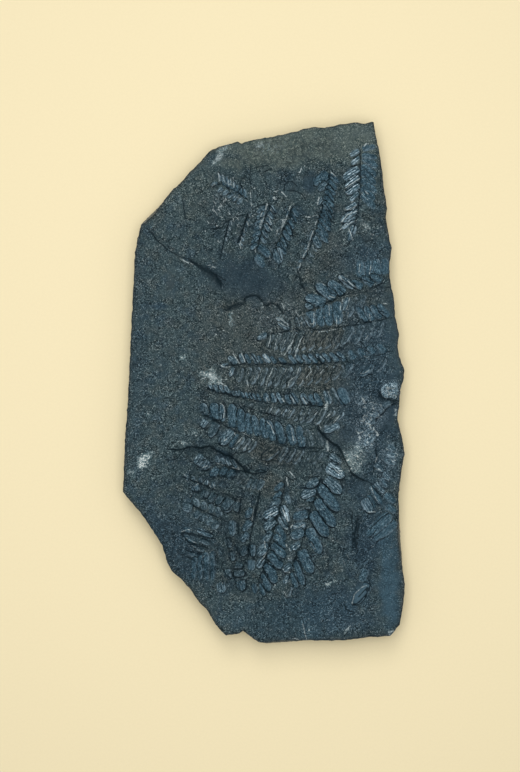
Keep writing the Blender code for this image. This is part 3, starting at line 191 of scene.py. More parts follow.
# Pinnules. Each row: how many, the first one (foot x, y, tip x, y), the last one, width,
# finish, relief. The pinnules between the first and the last follow from them. A single
# pinnule is given by its place, width, finish and relief.
PINNULE_ROWS = (
    # Upper left pinna
    (7, (-18.0, 90.2, -19.0, 95.6), (-8.3, 84.6, -9.3, 89.0), 1.5, "steel", 0.7),
    (5, (-18.6, 89.3, -21.0, 87.4), (-9.8, 84.6, -12.6, 81.6), 1.8, "silver", 0.7),
    ((-20.9, 91.6, -24.5, 90.2), 1.5, "silver", 0.8), ((-19.8, 91.9, -21.0, 96.5), 1.2, "silver", 0.8),
    # Two small pinnae above the hollow
    (4, (-15.6, 74.6, -14.8, 72.0), (-17.8, 67.2, -17.0, 64.6), 1.4, "bright", 0.7),
    (4, (-16.5, 74.0, -18.6, 72.4), (-18.8, 66.0, -21.0, 64.4), 1.5, "stone", 0.5),
    (7, (-7.2, 78.0, -6.0, 75.8), (-11.2, 65.0, -10.2, 62.6), 1.3, "bright", 0.8),
    (5, (-8.0, 76.5, -10.3, 75.0), (-11.7, 66.0, -13.8, 64.0), 1.6, "stone", 0.6),
    # First pinna of the upper fan
    (7, (1.2, 80.8, -3.2, 77.8), (-3.0, 64.2, -6.4, 61.0), 2.1, "steel", 0.8),
    (6, (2.8, 81.3, 5.4, 77.6), (-1.7, 67.5, 1.0, 63.8), 2.0, "silver", 0.9),
    (2, (-2.4, 62.8, 2.6, 57.8), (-3.8, 58.6, 0.2, 53.0), 3.2, "blue", 0.8),
    # Second pinna of the upper fan
    ((12.0, 80.4, 9.6, 75.5), 1.2, "silver", 0.8),
    (5, (10.6, 76.0, 7.0, 73.5), (5.0, 64.0, 2.0, 61.2), 2.0, "stone", 0.5),
    (6, (13.0, 80.0, 15.6, 76.0), (7.8, 67.0, 11.0, 62.0), 2.2, "blue", 0.9),
    ((6.4, 64.6, 9.8, 58.6), 2.8, "blue", 0.9), ((5.4, 62.2, 6.9, 54.6), 4.0, "silver", 0.9),
    # Third pinna of the upper fan
    ((29.4, 96.2, 22.6, 90.6), 4.6, "blue", 1.0), ((28.8, 91.8, 24.5, 88.2), 3.0, "silver", 0.9),
    ((27.6, 85.4, 24.4, 81.4), 1.4, "silver", 0.7),
    (5, (26.4, 80.0, 22.6, 77.6), (22.6, 70.0, 18.8, 67.4), 2.3, "stone", 0.4),
    ((22.3, 70.0, 20.4, 64.6), 1.4, "silver", 0.9), ((20.8, 63.6, 17.9, 61.0), 1.3, "silver", 0.8),
    ((20.0, 61.0, 17.7, 57.0), 2.0, "silver", 1.0),
    (2, (18.0, 56.4, 15.6, 55.4), (16.9, 53.5, 14.6, 52.8), 1.2, "silver", 0.7),
    (11, (29.8, 95.8, 33.6, 91.2), (23.9, 70.4, 29.2, 63.8), 2.3, "blue", 0.9),
    ((22.7, 67.6, 25.8, 61.8), 3.2, "silver", 0.8),
    (3, (21.4, 64.0, 24.6, 60.0), (19.0, 58.2, 22.6, 54.8), 1.7, "stone", 0.6),
    # Bright pinna at the upper right
    (2, (43.9, 106.6, 39.3, 103.8), (43.9, 103.2, 39.8, 100.4), 2.3, "bright", 0.7),
    ((43.8, 98.2, 36.2, 93.0), 4.0, "bright", 1.0), ((43.8, 94.6, 36.8, 89.5), 3.8, "bright", 1.0),
    ((43.8, 91.2, 37.2, 86.5), 3.4, "bright", 1.0), ((43.3, 87.4, 39.2, 83.4), 2.2, "bright", 0.7),
    ((42.4, 82.4, 37.0, 79.5), 2.2, "bright", 0.9), ((42.6, 80.0, 35.0, 73.5), 3.1, "bright", 1.0),
    ((42.0, 76.0, 35.0, 70.5), 2.2, "bright", 0.8), ((41.5, 72.5, 38.4, 65.0), 2.8, "bright", 0.9),
    (6, (44.8, 103.4, 51.8, 98.6), (44.2, 86.5, 51.0, 79.5), 3.1, "blue", 0.30),
    (2, (44.4, 107.0, 51.4, 108.4), (44.5, 104.4, 52.0, 102.8), 2.6, "blue", 0.4),
    # Broad pinnules right of the hollow
    (4, (44.6, 48.4, 43.2, 56.2), (56.0, 49.4, 55.2, 57.8), 3.7, "blue", 0.5),
    (3, (45.4, 43.4, 40.0, 47.2), (54.0, 45.8, 48.6, 49.6), 3.0, "blue", 0.9),
    ((41.2, 43.4, 34.0, 49.8), 2.8, "silver", 1.0), ((36.8, 40.8, 29.4, 46.9), 4.4, "steel", 1.0),
    ((32.8, 38.8, 23.4, 45.5), 4.5, "steel", 1.1), ((28.2, 36.4, 18.7, 39.6), 4.8, "steel", 1.1),
    ((22.9, 34.9, 18.5, 35.9), 2.6, "silver", 0.9),
    (4, (21.2, 33.0, 22.4, 25.4), (33.6, 37.4, 33.8, 26.6), 4.2, "blue", 0.6),
    ((38.8, 39.4, 36.6, 33.0), 2.9, "silver", 0.8),
    (2, (41.8, 39.6, 38.0, 29.4), (46.0, 41.0, 42.4, 32.6), 3.3, "stone", 0.5),
    # Brown-flushed pinna below them
    (4, (46.6, 28.2, 42.8, 35.0), (57.0, 30.4, 51.8, 36.6), 2.9, "blue", 0.7),
    ((12.6, 26.0, 4.8, 30.0), 2.0, "silver", 1.0), ((11.6, 24.6, 6.0, 28.0), 1.8, "silver", 0.9),
    (3, (16.0, 25.6, 14.0, 30.6), (21.4, 25.8, 18.6, 31.0), 1.9, "stone", 0.8),
    ((1.6, 22.8, -3.3, 20.4), 2.4, "silver", 0.7),
    (5, (3.6, 23.2, 1.7, 15.8), (17.6, 24.0, 12.8, 12.4), 3.3, "pale", 0.9),
    (5, (21.2, 24.0, 16.8, 14.6), (36.0, 25.4, 30.6, 15.6), 3.6, "brown", 0.8),
    (4, (40.0, 26.0, 36.0, 17.2), (54.0, 28.8, 50.6, 20.4), 3.5, "stone", 0.4),
    # Long middle pinna
    ((-16.0, 8.6, -20.2, 7.8), 1.7, "silver", 0.8), ((-12.3, 8.9, -16.3, 12.6), 2.8, "silver", 0.9),
    ((-8.6, 9.2, -11.3, 13.9), 2.4, "silver", 0.9), ((-6.2, 9.0, -8.7, 13.8), 1.9, "blue", 0.9),
    ((-2.9, 9.0, -5.6, 13.9), 2.1, "silver", 0.9), ((-0.6, 9.0, -2.9, 13.0), 1.8, "blue", 0.9),
    ((3.2, 9.4, -0.4, 13.8), 2.4, "bright", 1.0),
    (2, (5.6, 9.2, 3.0, 12.6), (10.2, 9.3, 6.2, 12.0), 1.9, "blue", 0.8),
    (8, (14.6, 9.0, 10.8, 13.2), (37.2, 10.0, 33.0, 14.4), 2.1, "steel", 0.9),
    (4, (41.0, 11.0, 38.4, 15.2), (55.6, 14.4, 51.0, 17.8), 2.8, "blue", 0.8),
    ((-13.8, 7.6, -15.7, 3.0), 2.2, "silver", 0.8),
    (8, (-10.5, 7.8, -12.3, 0.0), (16.2, 7.8, 11.0, -2.6), 3.3, "pale", 0.9),
    (5, (20.6, 8.0, 15.2, -2.0), (35.8, 8.8, 30.6, 1.0), 3.4, "brown", 0.8),
    (3, (40.0, 9.2, 35.6, 2.4), (55.0, 12.0, 51.0, 5.0), 3.1, "stone", 0.6),
    ((50.0, 8.6, 44.2, 3.4), 2.8, "grey", 0.8),
    # Pinna under the long middle one
    (4, (-22.8, -3.4, -25.0, 0.2), (-15.8, -5.0, -18.2, -0.6), 2.1, "silver", 0.8),
    (3, (-13.4, -5.8, -14.6, -3.0), (-10.2, -6.4, -11.8, -3.0), 1.5, "silver", 0.9),
    (5, (-9.0, -6.6, -10.6, -3.8), (-1.4, -8.0, -3.5, -4.4), 1.6, "steel", 0.9),
    (3, (1.8, -8.7, 0.6, -3.8), (9.0, -9.3, 5.8, -4.0), 2.4, "steel", 0.9),
    ((12.4, -9.5, 9.6, -5.0), 2.4, "blue", 0.9), ((15.2, -9.4, 12.0, -4.2), 2.8, "steel", 1.0),
    ((20.0, -9.7, 17.0, -4.4), 3.0, "silver", 1.0),
    (2, (23.2, -10.0, 20.4, -4.8), (26.6, -10.4, 23.0, -4.4), 2.6, "blue", 1.0),
    ((30.0, -9.6, 27.6, -2.8), 2.6, "silver", 0.9), ((33.8, -9.6, 30.8, -1.6), 2.6, "stone", 0.7),
    ((37.6, -9.6, 35.0, -1.6), 4.4, "blue", 0.7), ((-4.8, -8.6, -8.8, -10.4), 2.2, "stone", 0.8),
    (7, (2.6, -10.2, 1.0, -14.0), (24.4, -11.6, 19.4, -18.6), 3.0, "pale", 0.9),
    (3, (28.0, -11.6, 23.2, -19.4), (36.0, -12.6, 30.0, -20.4), 3.1, "pale", 0.7),
    ((34.6, -18.6, 27.2, -22.0), 3.2, "silver", 0.7),
    # Big blue pinnules left of the middle
    ((-26.4, -15.0, -27.9, -8.6), 3.4, "grey", 0.9), ((-22.0, -17.0, -23.2, -8.6), 4.8, "blue", 1.1),
    ((-18.9, -17.6, -19.4, -9.0), 2.6, "steel", 1.1), ((-13.6, -20.4, -14.6, -9.0), 4.6, "blue", 1.0),
    ((-9.8, -22.4, -10.8, -11.0), 4.0, "blue", 1.0),
    (4, (-6.2, -23.6, -8.0, -13.0), (4.6, -26.0, 1.6, -16.4), 3.4, "blue", 0.8),
    (3, (9.2, -28.0, 6.2, -17.0), (17.4, -29.0, 15.2, -19.2), 3.5, "blue", 0.9),
    (2, (21.5, -29.0, 19.0, -21.0), (26.0, -28.8, 23.6, -21.6), 3.2, "stone", 0.6),
    ((-26.4, -16.4, -28.6, -20.2), 3.1, "silver", 0.8), ((-21.2, -17.8, -25.2, -24.6), 3.7, "grey", 1.0),
    ((-13.8, -21.8, -20.6, -28.0), 4.6, "silver", 1.1), ((-11.6, -23.2, -15.6, -29.6), 2.8, "blue", 0.9),
    (3, (-9.2, -23.8, -13.0, -30.4), (-3.8, -25.8, -7.8, -31.4), 2.6, "pale", 0.9),
    ((6.2, -28.8, -1.2, -34.8), 5.0, "brown", 0.9),
    (3, (10.6, -29.2, 6.4, -36.0), (17.6, -30.0, 12.8, -37.0), 3.0, "pale", 0.8),
    (2, (23.0, -30.4, 18.6, -34.6), (26.6, -31.2, 21.4, -37.0), 2.8, "stone", 0.6),
    # Broken pinna below the ledge
    ((-27.8, -32.6, -31.4, -37.2), 4.2, "silver", 0.9),
    ((-25.6, -35.0, -27.6, -39.6), 3.4, "silver", 1.1), ((-20.6, -38.6, -24.6, -43.0), 3.6, "blue", 0.9),
    (2, (-16.6, -38.8, -20.2, -42.6), (-13.0, -39.8, -16.6, -43.8), 3.4, "blue", 0.9),
    (2, (-9.4, -40.8, -13.2, -45.4), (-5.4, -41.6, -9.0, -46.6), 3.2, "stone", 0.7),
    (4, (-20.6, -36.2, -22.0, -33.0), (-12.4, -38.6, -14.6, -34.6), 1.9, "silver", 0.8),
    (3, (-5.4, -43.4, -8.2, -48.0), (-0.4, -44.0, -3.2, -48.6), 2.5, "grey", 0.7),
    # Second broken pinna
    (5, (-34.0, -44.2, -36.6, -41.4), (-23.6, -47.6, -22.6, -44.6), 1.8, "silver", 0.7),
    ((-29.6, -46.6, -33.0, -49.0), 3.2, "steel", 0.9), ((-26.4, -48.6, -28.2, -52.8), 3.0, "grey", 0.9),
    ((-22.8, -49.8, -25.2, -55.0), 3.8, "grey", 1.1), ((-18.8, -51.4, -22.0, -56.0), 3.2, "grey", 1.0),
    ((-14.6, -52.6, -18.6, -58.6), 5.0, "grey", 1.1), ((-11.4, -54.0, -13.4, -59.0), 3.2, "grey", 0.9),
    # Third broken pinna
    ((-32.2, -56.0, -37.6, -55.4), 5.6, "grey", 0.9),
    (4, (-29.4, -58.4, -32.0, -61.8), (-20.6, -62.6, -23.6, -66.4), 3.2, "grey", 0.7),
    (4, (-30.4, -56.4, -31.6, -52.2), (-20.0, -60.6, -21.6, -56.4), 2.8, "grey", 0.5),
    # Narrow pinnules at the lower left
    ((-30.6, -66.6, -23.6, -70.2), 2.6, "steel", 0.9), ((-33.2, -67.4, -37.4, -66.4), 2.2, "blue", 0.7),
    ((-36.8, -69.8, -30.8, -73.4), 2.2, "steel", 0.9),
    (3, (-29.6, -71.4, -24.6, -73.6), (-34.6, -77.6, -29.4, -79.4), 2.2, "grey", 0.8),
    (4, (-31.8, -79.0, -32.6, -90.0), (-23.6, -76.0, -22.8, -90.4), 2.6, "blue", 0.6),
    # Pinnules scattered left of the fans
    ((-14.4, -62.4, -14.6, -70.0), 3.0, "steel", 0.9),
    (2, (-16.6, -70.6, -15.4, -75.4), (-15.0, -76.4, -14.0, -81.4), 2.8, "grey", 1.0),
    (3, (-5.2, -57.0, -8.4, -62.0), (-7.0, -68.0, -10.6, -72.8), 3.0, "steel", 1.0),
    ((-8.0, -74.0, -10.4, -79.0), 3.0, "grey", 1.0), ((-5.2, -73.4, -5.0, -79.4), 2.8, "steel", 1.0),
    ((-13.4, -82.6, -9.4, -83.6), 3.0, "grey", 1.0), ((-14.2, -86.8, -8.6, -86.6), 3.2, "grey", 1.1),
    ((-17.4, -84.6, -15.4, -89.4), 3.2, "grey", 1.0), ((-10.8, -89.8, -9.6, -94.8), 4.0, "steel", 1.0),
    ((-19.8, -90.6, -19.2, -95.8), 4.0, "silver", 0.9), ((-5.8, -80.4, -5.8, -85.6), 3.4, "steel", 0.7),
    (2, (-4.6, -91.0, -3.8, -96.2), (-1.4, -90.8, 0.0, -97.0), 2.4, "blue", 0.8),
    # Left fan
    ((9.0, -45.4, 4.6, -49.2), 2.4, "blue", 0.9), ((8.2, -49.4, 4.0, -53.4), 2.4, "blue", 0.9),
    ((7.6, -52.6, 2.8, -57.0), 3.0, "silver", 1.0), ((6.6, -57.2, -0.4, -61.2), 4.2, "bright", 1.1),
    ((5.4, -61.8, -0.2, -66.6), 4.2, "silver", 1.1), ((3.6, -67.4, -0.6, -72.6), 3.2, "silver", 0.9),
    ((2.0, -73.4, -3.4, -78.6), 3.8, "silver", 1.0), ((0.2, -79.6, -3.2, -84.4), 3.2, "silver", 0.9),
    ((10.2, -50.8, 11.6, -55.2), 2.4, "silver", 0.8), ((8.4, -55.6, 11.4, -63.6), 2.9, "bright", 1.0),
    ((7.2, -60.4, 10.8, -67.0), 2.8, "silver", 1.0), ((5.9, -64.8, 9.8, -71.8), 3.0, "blue", 0.9),
    ((4.8, -69.0, 10.2, -75.4), 3.1, "blue", 1.0), ((3.8, -72.8, 9.8, -80.0), 3.6, "blue", 1.0),
    ((2.2, -77.2, 8.4, -84.6), 4.2, "blue", 1.1), ((0.9, -82.0, 5.8, -91.2), 4.2, "blue", 1.1),
    ((-0.4, -86.8, 3.0, -94.8), 3.2, "blue", 1.0),
    # Right fan
    ((25.8, -37.6, 22.0, -42.2), 3.4, "stone", 0.8), ((25.0, -44.0, 19.2, -47.2), 3.4, "silver", 0.9),
    ((23.8, -48.4, 16.6, -51.6), 4.0, "silver", 1.0), ((23.2, -52.2, 19.2, -54.2), 2.4, "silver", 0.8),
    ((21.4, -55.6, 14.2, -56.4), 3.3, "pale", 0.9), ((20.2, -59.4, 12.8, -61.0), 4.0, "blue", 0.8),
    ((19.4, -64.2, 13.0, -66.0), 2.8, "silver", 0.8), ((18.6, -67.4, 12.0, -70.4), 4.2, "steel", 1.0),
    ((16.8, -73.0, 11.2, -76.2), 3.2, "silver", 0.9), ((14.8, -77.2, 10.4, -80.6), 3.4, "pale", 0.8),
    ((12.8, -82.6, 8.4, -85.8), 3.2, "silver", 0.9), ((11.2, -87.6, 9.0, -91.6), 2.2, "silver", 0.7),
    ((11.6, -92.4, 10.4, -98.0), 3.0, "pale", 0.8), ((29.8, -32.8, 35.6, -36.8), 3.0, "silver", 0.9),
    ((28.6, -37.2, 36.6, -43.2), 4.8, "bright", 1.1), ((27.6, -43.4, 35.8, -50.0), 4.8, "silver", 1.1),
    ((25.2, -46.4, 33.8, -58.8), 4.7, "blue", 1.1), ((23.8, -52.6, 32.2, -66.0), 4.8, "blue", 1.1),
    ((21.6, -58.6, 29.6, -70.0), 5.0, "blue", 1.1), ((20.2, -66.0, 26.0, -78.0), 4.6, "blue", 1.0),
    ((16.8, -75.6, 22.0, -87.0), 4.8, "blue", 1.1), ((14.6, -81.0, 17.8, -92.6), 3.3, "blue", 1.0),
    ((12.8, -86.2, 15.2, -93.6), 2.8, "blue", 0.9),
    # Right edge of the slab
    ((61.6, -3.0, 53.2, -3.2), 6.4, "bare", 0.9),
    (3, (57.8, -8.6, 53.0, -11.2), (52.6, -13.6, 47.6, -15.6), 2.8, "silver", 0.7),
    (3, (50.8, -16.0, 46.0, -20.0), (50.6, -23.6, 45.0, -28.6), 3.0, "silver", 0.7),
    (2, (47.0, -5.0, 42.0, -9.6), (49.6, -9.6, 44.6, -13.6), 3.0, "stone", 0.5),
    (3, (56.0, -28.4, 60.6, -30.6), (55.0, -34.6, 60.0, -37.4), 2.6, "silver", 0.6),
    ((50.4, -36.6, 54.6, -40.2), 2.6, "silver", 0.9), ((54.6, -40.4, 57.4, -44.4), 2.4, "silver", 0.8),
    (2, (53.2, -43.2, 56.4, -47.6), (50.8, -45.0, 54.6, -50.6), 2.4, "silver", 0.8),
    (2, (48.6, -46.4, 53.4, -55.4), (46.8, -51.0, 50.6, -57.4), 2.8, "blue", 0.9),
    ((45.4, -52.4, 49.4, -59.2), 3.8, "silver", 1.0),
    (2, (55.0, -50.6, 60.0, -54.6), (55.6, -55.4, 60.6, -59.0), 3.0, "blue", 0.6),
    ((60.6, -63.0, 50.2, -71.6), 4.0, "blue", 0.5), ((58.0, -59.6, 46.4, -69.4), 4.8, "blue", 0.7),
    ((48.0, -91.6, 40.9, -100.8), 4.4, "satin", 1.3), ((46.4, -84.6, 44.4, -90.4), 3.6, "satin", 0.4),
)

# Stems, each as x, y, x, y and so on
STEMS = (
    (-7.5, 84.0, -10.5, 86.2, -13.5, 88.0, -16.5, 89.2, -20.0, 91.3, -24.4, 89.0),
    (-16.2, 74.3, -17.0, 69.5, -18.2, 65.5, -19.0, 61.5, -19.8, 58.0),
    (-7.5, 77.5, -8.8, 72.0, -10.2, 67.0, -11.4, 64.5),
    (2.8, 81.3, 1.9, 79.0, 1.0, 76.5, 0.3, 74.0, -0.6, 71.0, -1.8, 66.0, -3.4, 61.0, -5.2, 55.5),
    (13.0, 80.7, 10.9, 74.1, 8.2, 69.2, 6.4, 65.4, 4.7, 61.3, 2.0, 53.4),
    (30.2, 98.4, 29.3, 91.0, 28.3, 86.5, 26.5, 79.5, 24.6, 73.0, 22.5, 66.5, 21.3, 62.5, 19.4, 59.6,
     17.0, 53.6, 14.6, 48.4, 13.2, 46.0),
    (16.2, 51.6, 16.4, 47.0, 18.8, 43.2),
    (43.8, 108.0, 44.2, 99.0, 44.0, 90.0, 43.2, 80.6, 41.8, 73.0, 39.8, 66.4, 38.4, 62.6),
    (17.6, 33.0, 20.0, 32.8, 22.5, 34.0, 25.0, 35.4, 31.0, 38.2, 33.5, 39.7, 37.0, 40.6, 41.0, 41.0,
     45.0, 41.5, 48.0, 43.0, 51.0, 44.2, 57.5, 44.0),
    (2.6, 22.8, 8.0, 23.2, 13.4, 24.8, 19.4, 25.0, 25.4, 24.6, 31.4, 25.4, 38.0, 26.4, 44.0, 27.0,
     50.0, 28.6, 58.4, 30.0),
    (-17.6, 8.2, -12.0, 8.6, -4.0, 8.4, 4.0, 8.6, 11.0, 9.2, 18.0, 8.7, 26.0, 9.0, 34.0, 9.6,
     42.0, 10.6, 50.0, 12.2, 59.0, 15.0),
    (-25.6, -2.8, -20.0, -4.6, -13.0, -6.0, -8.0, -7.0, -2.0, -8.4, 4.0, -9.4, 11.0, -9.9, 19.0, -10.0,
     27.0, -10.6, 34.0, -10.4),
    (-9.6, -10.2, -5.0, -12.0, 0.0, -13.4, 5.0, -14.8, 11.0, -16.6),
    (-29.4, -14.4, -25.0, -15.4, -20.4, -17.8, -15.6, -20.2, -10.6, -22.8, -5.6, -24.9, 0.0, -25.6,
     5.0, -27.0, 11.0, -28.8, 18.0, -29.6, 27.0, -29.8),
    (-24.4, -36.0, -20.4, -36.8, -16.0, -38.2, -11.4, -39.8, -5.4, -41.2, 0.6, -41.0),
    (-37.4, -42.6, -33.4, -44.4, -28.6, -46.2, -23.0, -48.2, -17.8, -50.6, -12.0, -53.0),
    (-36.0, -52.8, -31.4, -56.6, -26.2, -58.8, -20.8, -61.4, -16.6, -63.4),
    (-37.8, -68.2, -33.8, -69.2, -28.8, -70.8, -24.2, -72.6),
    (-37.6, -68.4, -34.8, -72.4, -30.6, -74.2, -25.4, -75.4),
    (-36.6, -75.8, -33.0, -77.4, -28.8, -78.2),
    (-38.2, -77.8, -34.6, -79.4, -31.2, -81.2),
    (-10.5, -52.4, -11.0, -57.2, -11.2, -61.3, -12.0, -65.3, -11.5, -68.4, -12.4, -73.4, -11.2, -78.2),
    (-2.1, -50.0, -2.9, -53.4, -3.9, -57.4, -4.6, -63.3, -5.9, -69.4, -6.9, -75.0, -7.4, -78.6),
    (10.2, -42.0, 9.4, -47.6, 8.2, -53.4, 6.6, -59.0, 5.2, -64.2, 3.8, -69.6, 2.0, -75.2, 0.6, -80.0,
     -0.4, -85.0, -2.4, -90.4),
    (26.6, -41.0, 25.2, -45.8, 23.6, -51.2, 21.6, -57.4, 20.0, -63.2, 18.6, -69.0, 16.4, -74.6,
     14.4, -79.6, 12.6, -84.6, 11.2, -89.6),
)

# Ledges and cracks: the line, as x, y, x, y and so on, its drop, its reach. The ground on the
# right of the line, as one walks along it, lies lower by the drop, and comes back to level over
# the reach.
BREAKS = (
    ((-19.8, 44.3, -20.0, 46.4, -21.4, 48.4, -23.6, 50.4, -26.6, 52.0, -29.2, 53.8, -31.6, 54.4,
      -34.4, 56.6), 1.0, 16.0),
    ((-33.0, 56.6, -39.0, 58.2, -43.4, 60.6, -46.4, 63.2, -49.2, 66.0, -53.0, 70.6), 0.3, 12.0),
    ((9.0, 31.6, 7.2, 34.2, 5.0, 36.4, 3.5, 36.4, 2.2, 35.7, 0.8, 35.7, -0.4, 36.6, -1.2, 38.2,
      -2.3, 39.8, -3.5, 40.3, -6.5, 39.8, -8.6, 39.3, -8.9, 37.0, -9.8, 36.2, -12.0, 36.1, -14.0, 35.5,
      -16.0, 34.4, -17.2, 33.5, -18.4, 34.0), 1.1, 14.0),
    ((-43.8, -30.2, -39.0, -30.1, -36.4, -29.6, -34.6, -28.8, -31.4, -29.4, -28.0, -29.2, -25.0, -28.7,
      -23.3, -29.6, -21.8, -30.7, -20.0, -30.8, -18.4, -32.2, -16.2, -32.8, -14.4, -34.1, -12.0, -35.6,
      -10.0, -37.5, -8.0, -40.0, -4.0, -41.3, 0.5, -40.6), 1.1, 22.0),
    ((23.2, -17.2, 24.8, -19.8, 26.4, -22.6, 28.8, -25.2, 31.4, -27.2, 34.4, -29.8, 36.6, -33.4,
      38.6, -37.6, 40.6, -41.4, 43.2, -42.9, 46.0, -44.0, 49.5, -46.0), 0.9, 12.0),
    ((49.8, -41.0, 50.4, -37.0, 51.5, -33.0, 51.2, -29.0), 0.5, 8.0),
    ((52.3, -3.0, 53.0, -5.6, 56.0, -7.0, 58.2, -8.0, 61.4, -7.8), 0.8, 8.0),
    ((50.8, -18.0, 52.0, -15.5, 54.8, -13.0, 57.5, -10.0, 61.0, -8.6), 0.7, 10.0),
    ((48.6, -91.6, 47.2, -88.0, 47.0, -84.5), 0.4, 5.0),
    ((-36.0, 75.4, -36.4, 78.0, -36.9, 82.0, -37.0, 85.5), 0.4, 7.0),
)

# Shallow hollows and swellings: x, y, half length, half width, turn in degrees, rise
PATCHES = (
    (-8.0, 47.5, 17.0, 10.0, -12.0, -0.55),
    (43.0, -70.0, 11.0, 2.6, 88.0, -1.0),
    (56.5, -15.5, 6.5, 5.5, 50.0, -0.5),
    (43.0, -35.0, 9.0, 6.5, 70.0, 0.45),
    (-27.5, -37.5, 7.0, 5.0, -20.0, 0.45),
    (30.0, 108.0, 22.0, 6.0, 8.0, 0.35),
    (-50.0, 5.0, 10.0, 60.0, 0.0, 0.30),
    (30.0, -104.0, 24.0, 9.0, 0.0, -0.25),
    (-8.0, -70.0, 5.0, 18.0, 0.0, -0.30),
    (57.5, -92.0, 3.0, 22.0, 2.0, 0.45),
)

# Where the fern is: x, y, half length, half width, turn in degrees
FERN_AREAS = (
    (12.0, 78.0, 50.0, 34.0, 10.0),
    (24.0, 34.0, 44.0, 28.0, 15.0),
    (14.0, -4.0, 56.0, 26.0, -5.0),
    (-6.0, -48.0, 44.0, 30.0, -15.0),
    (8.0, -74.0, 46.0, 32.0, 0.0),
    (48.0, -50.0, 17.0, 60.0, 0.0),
)
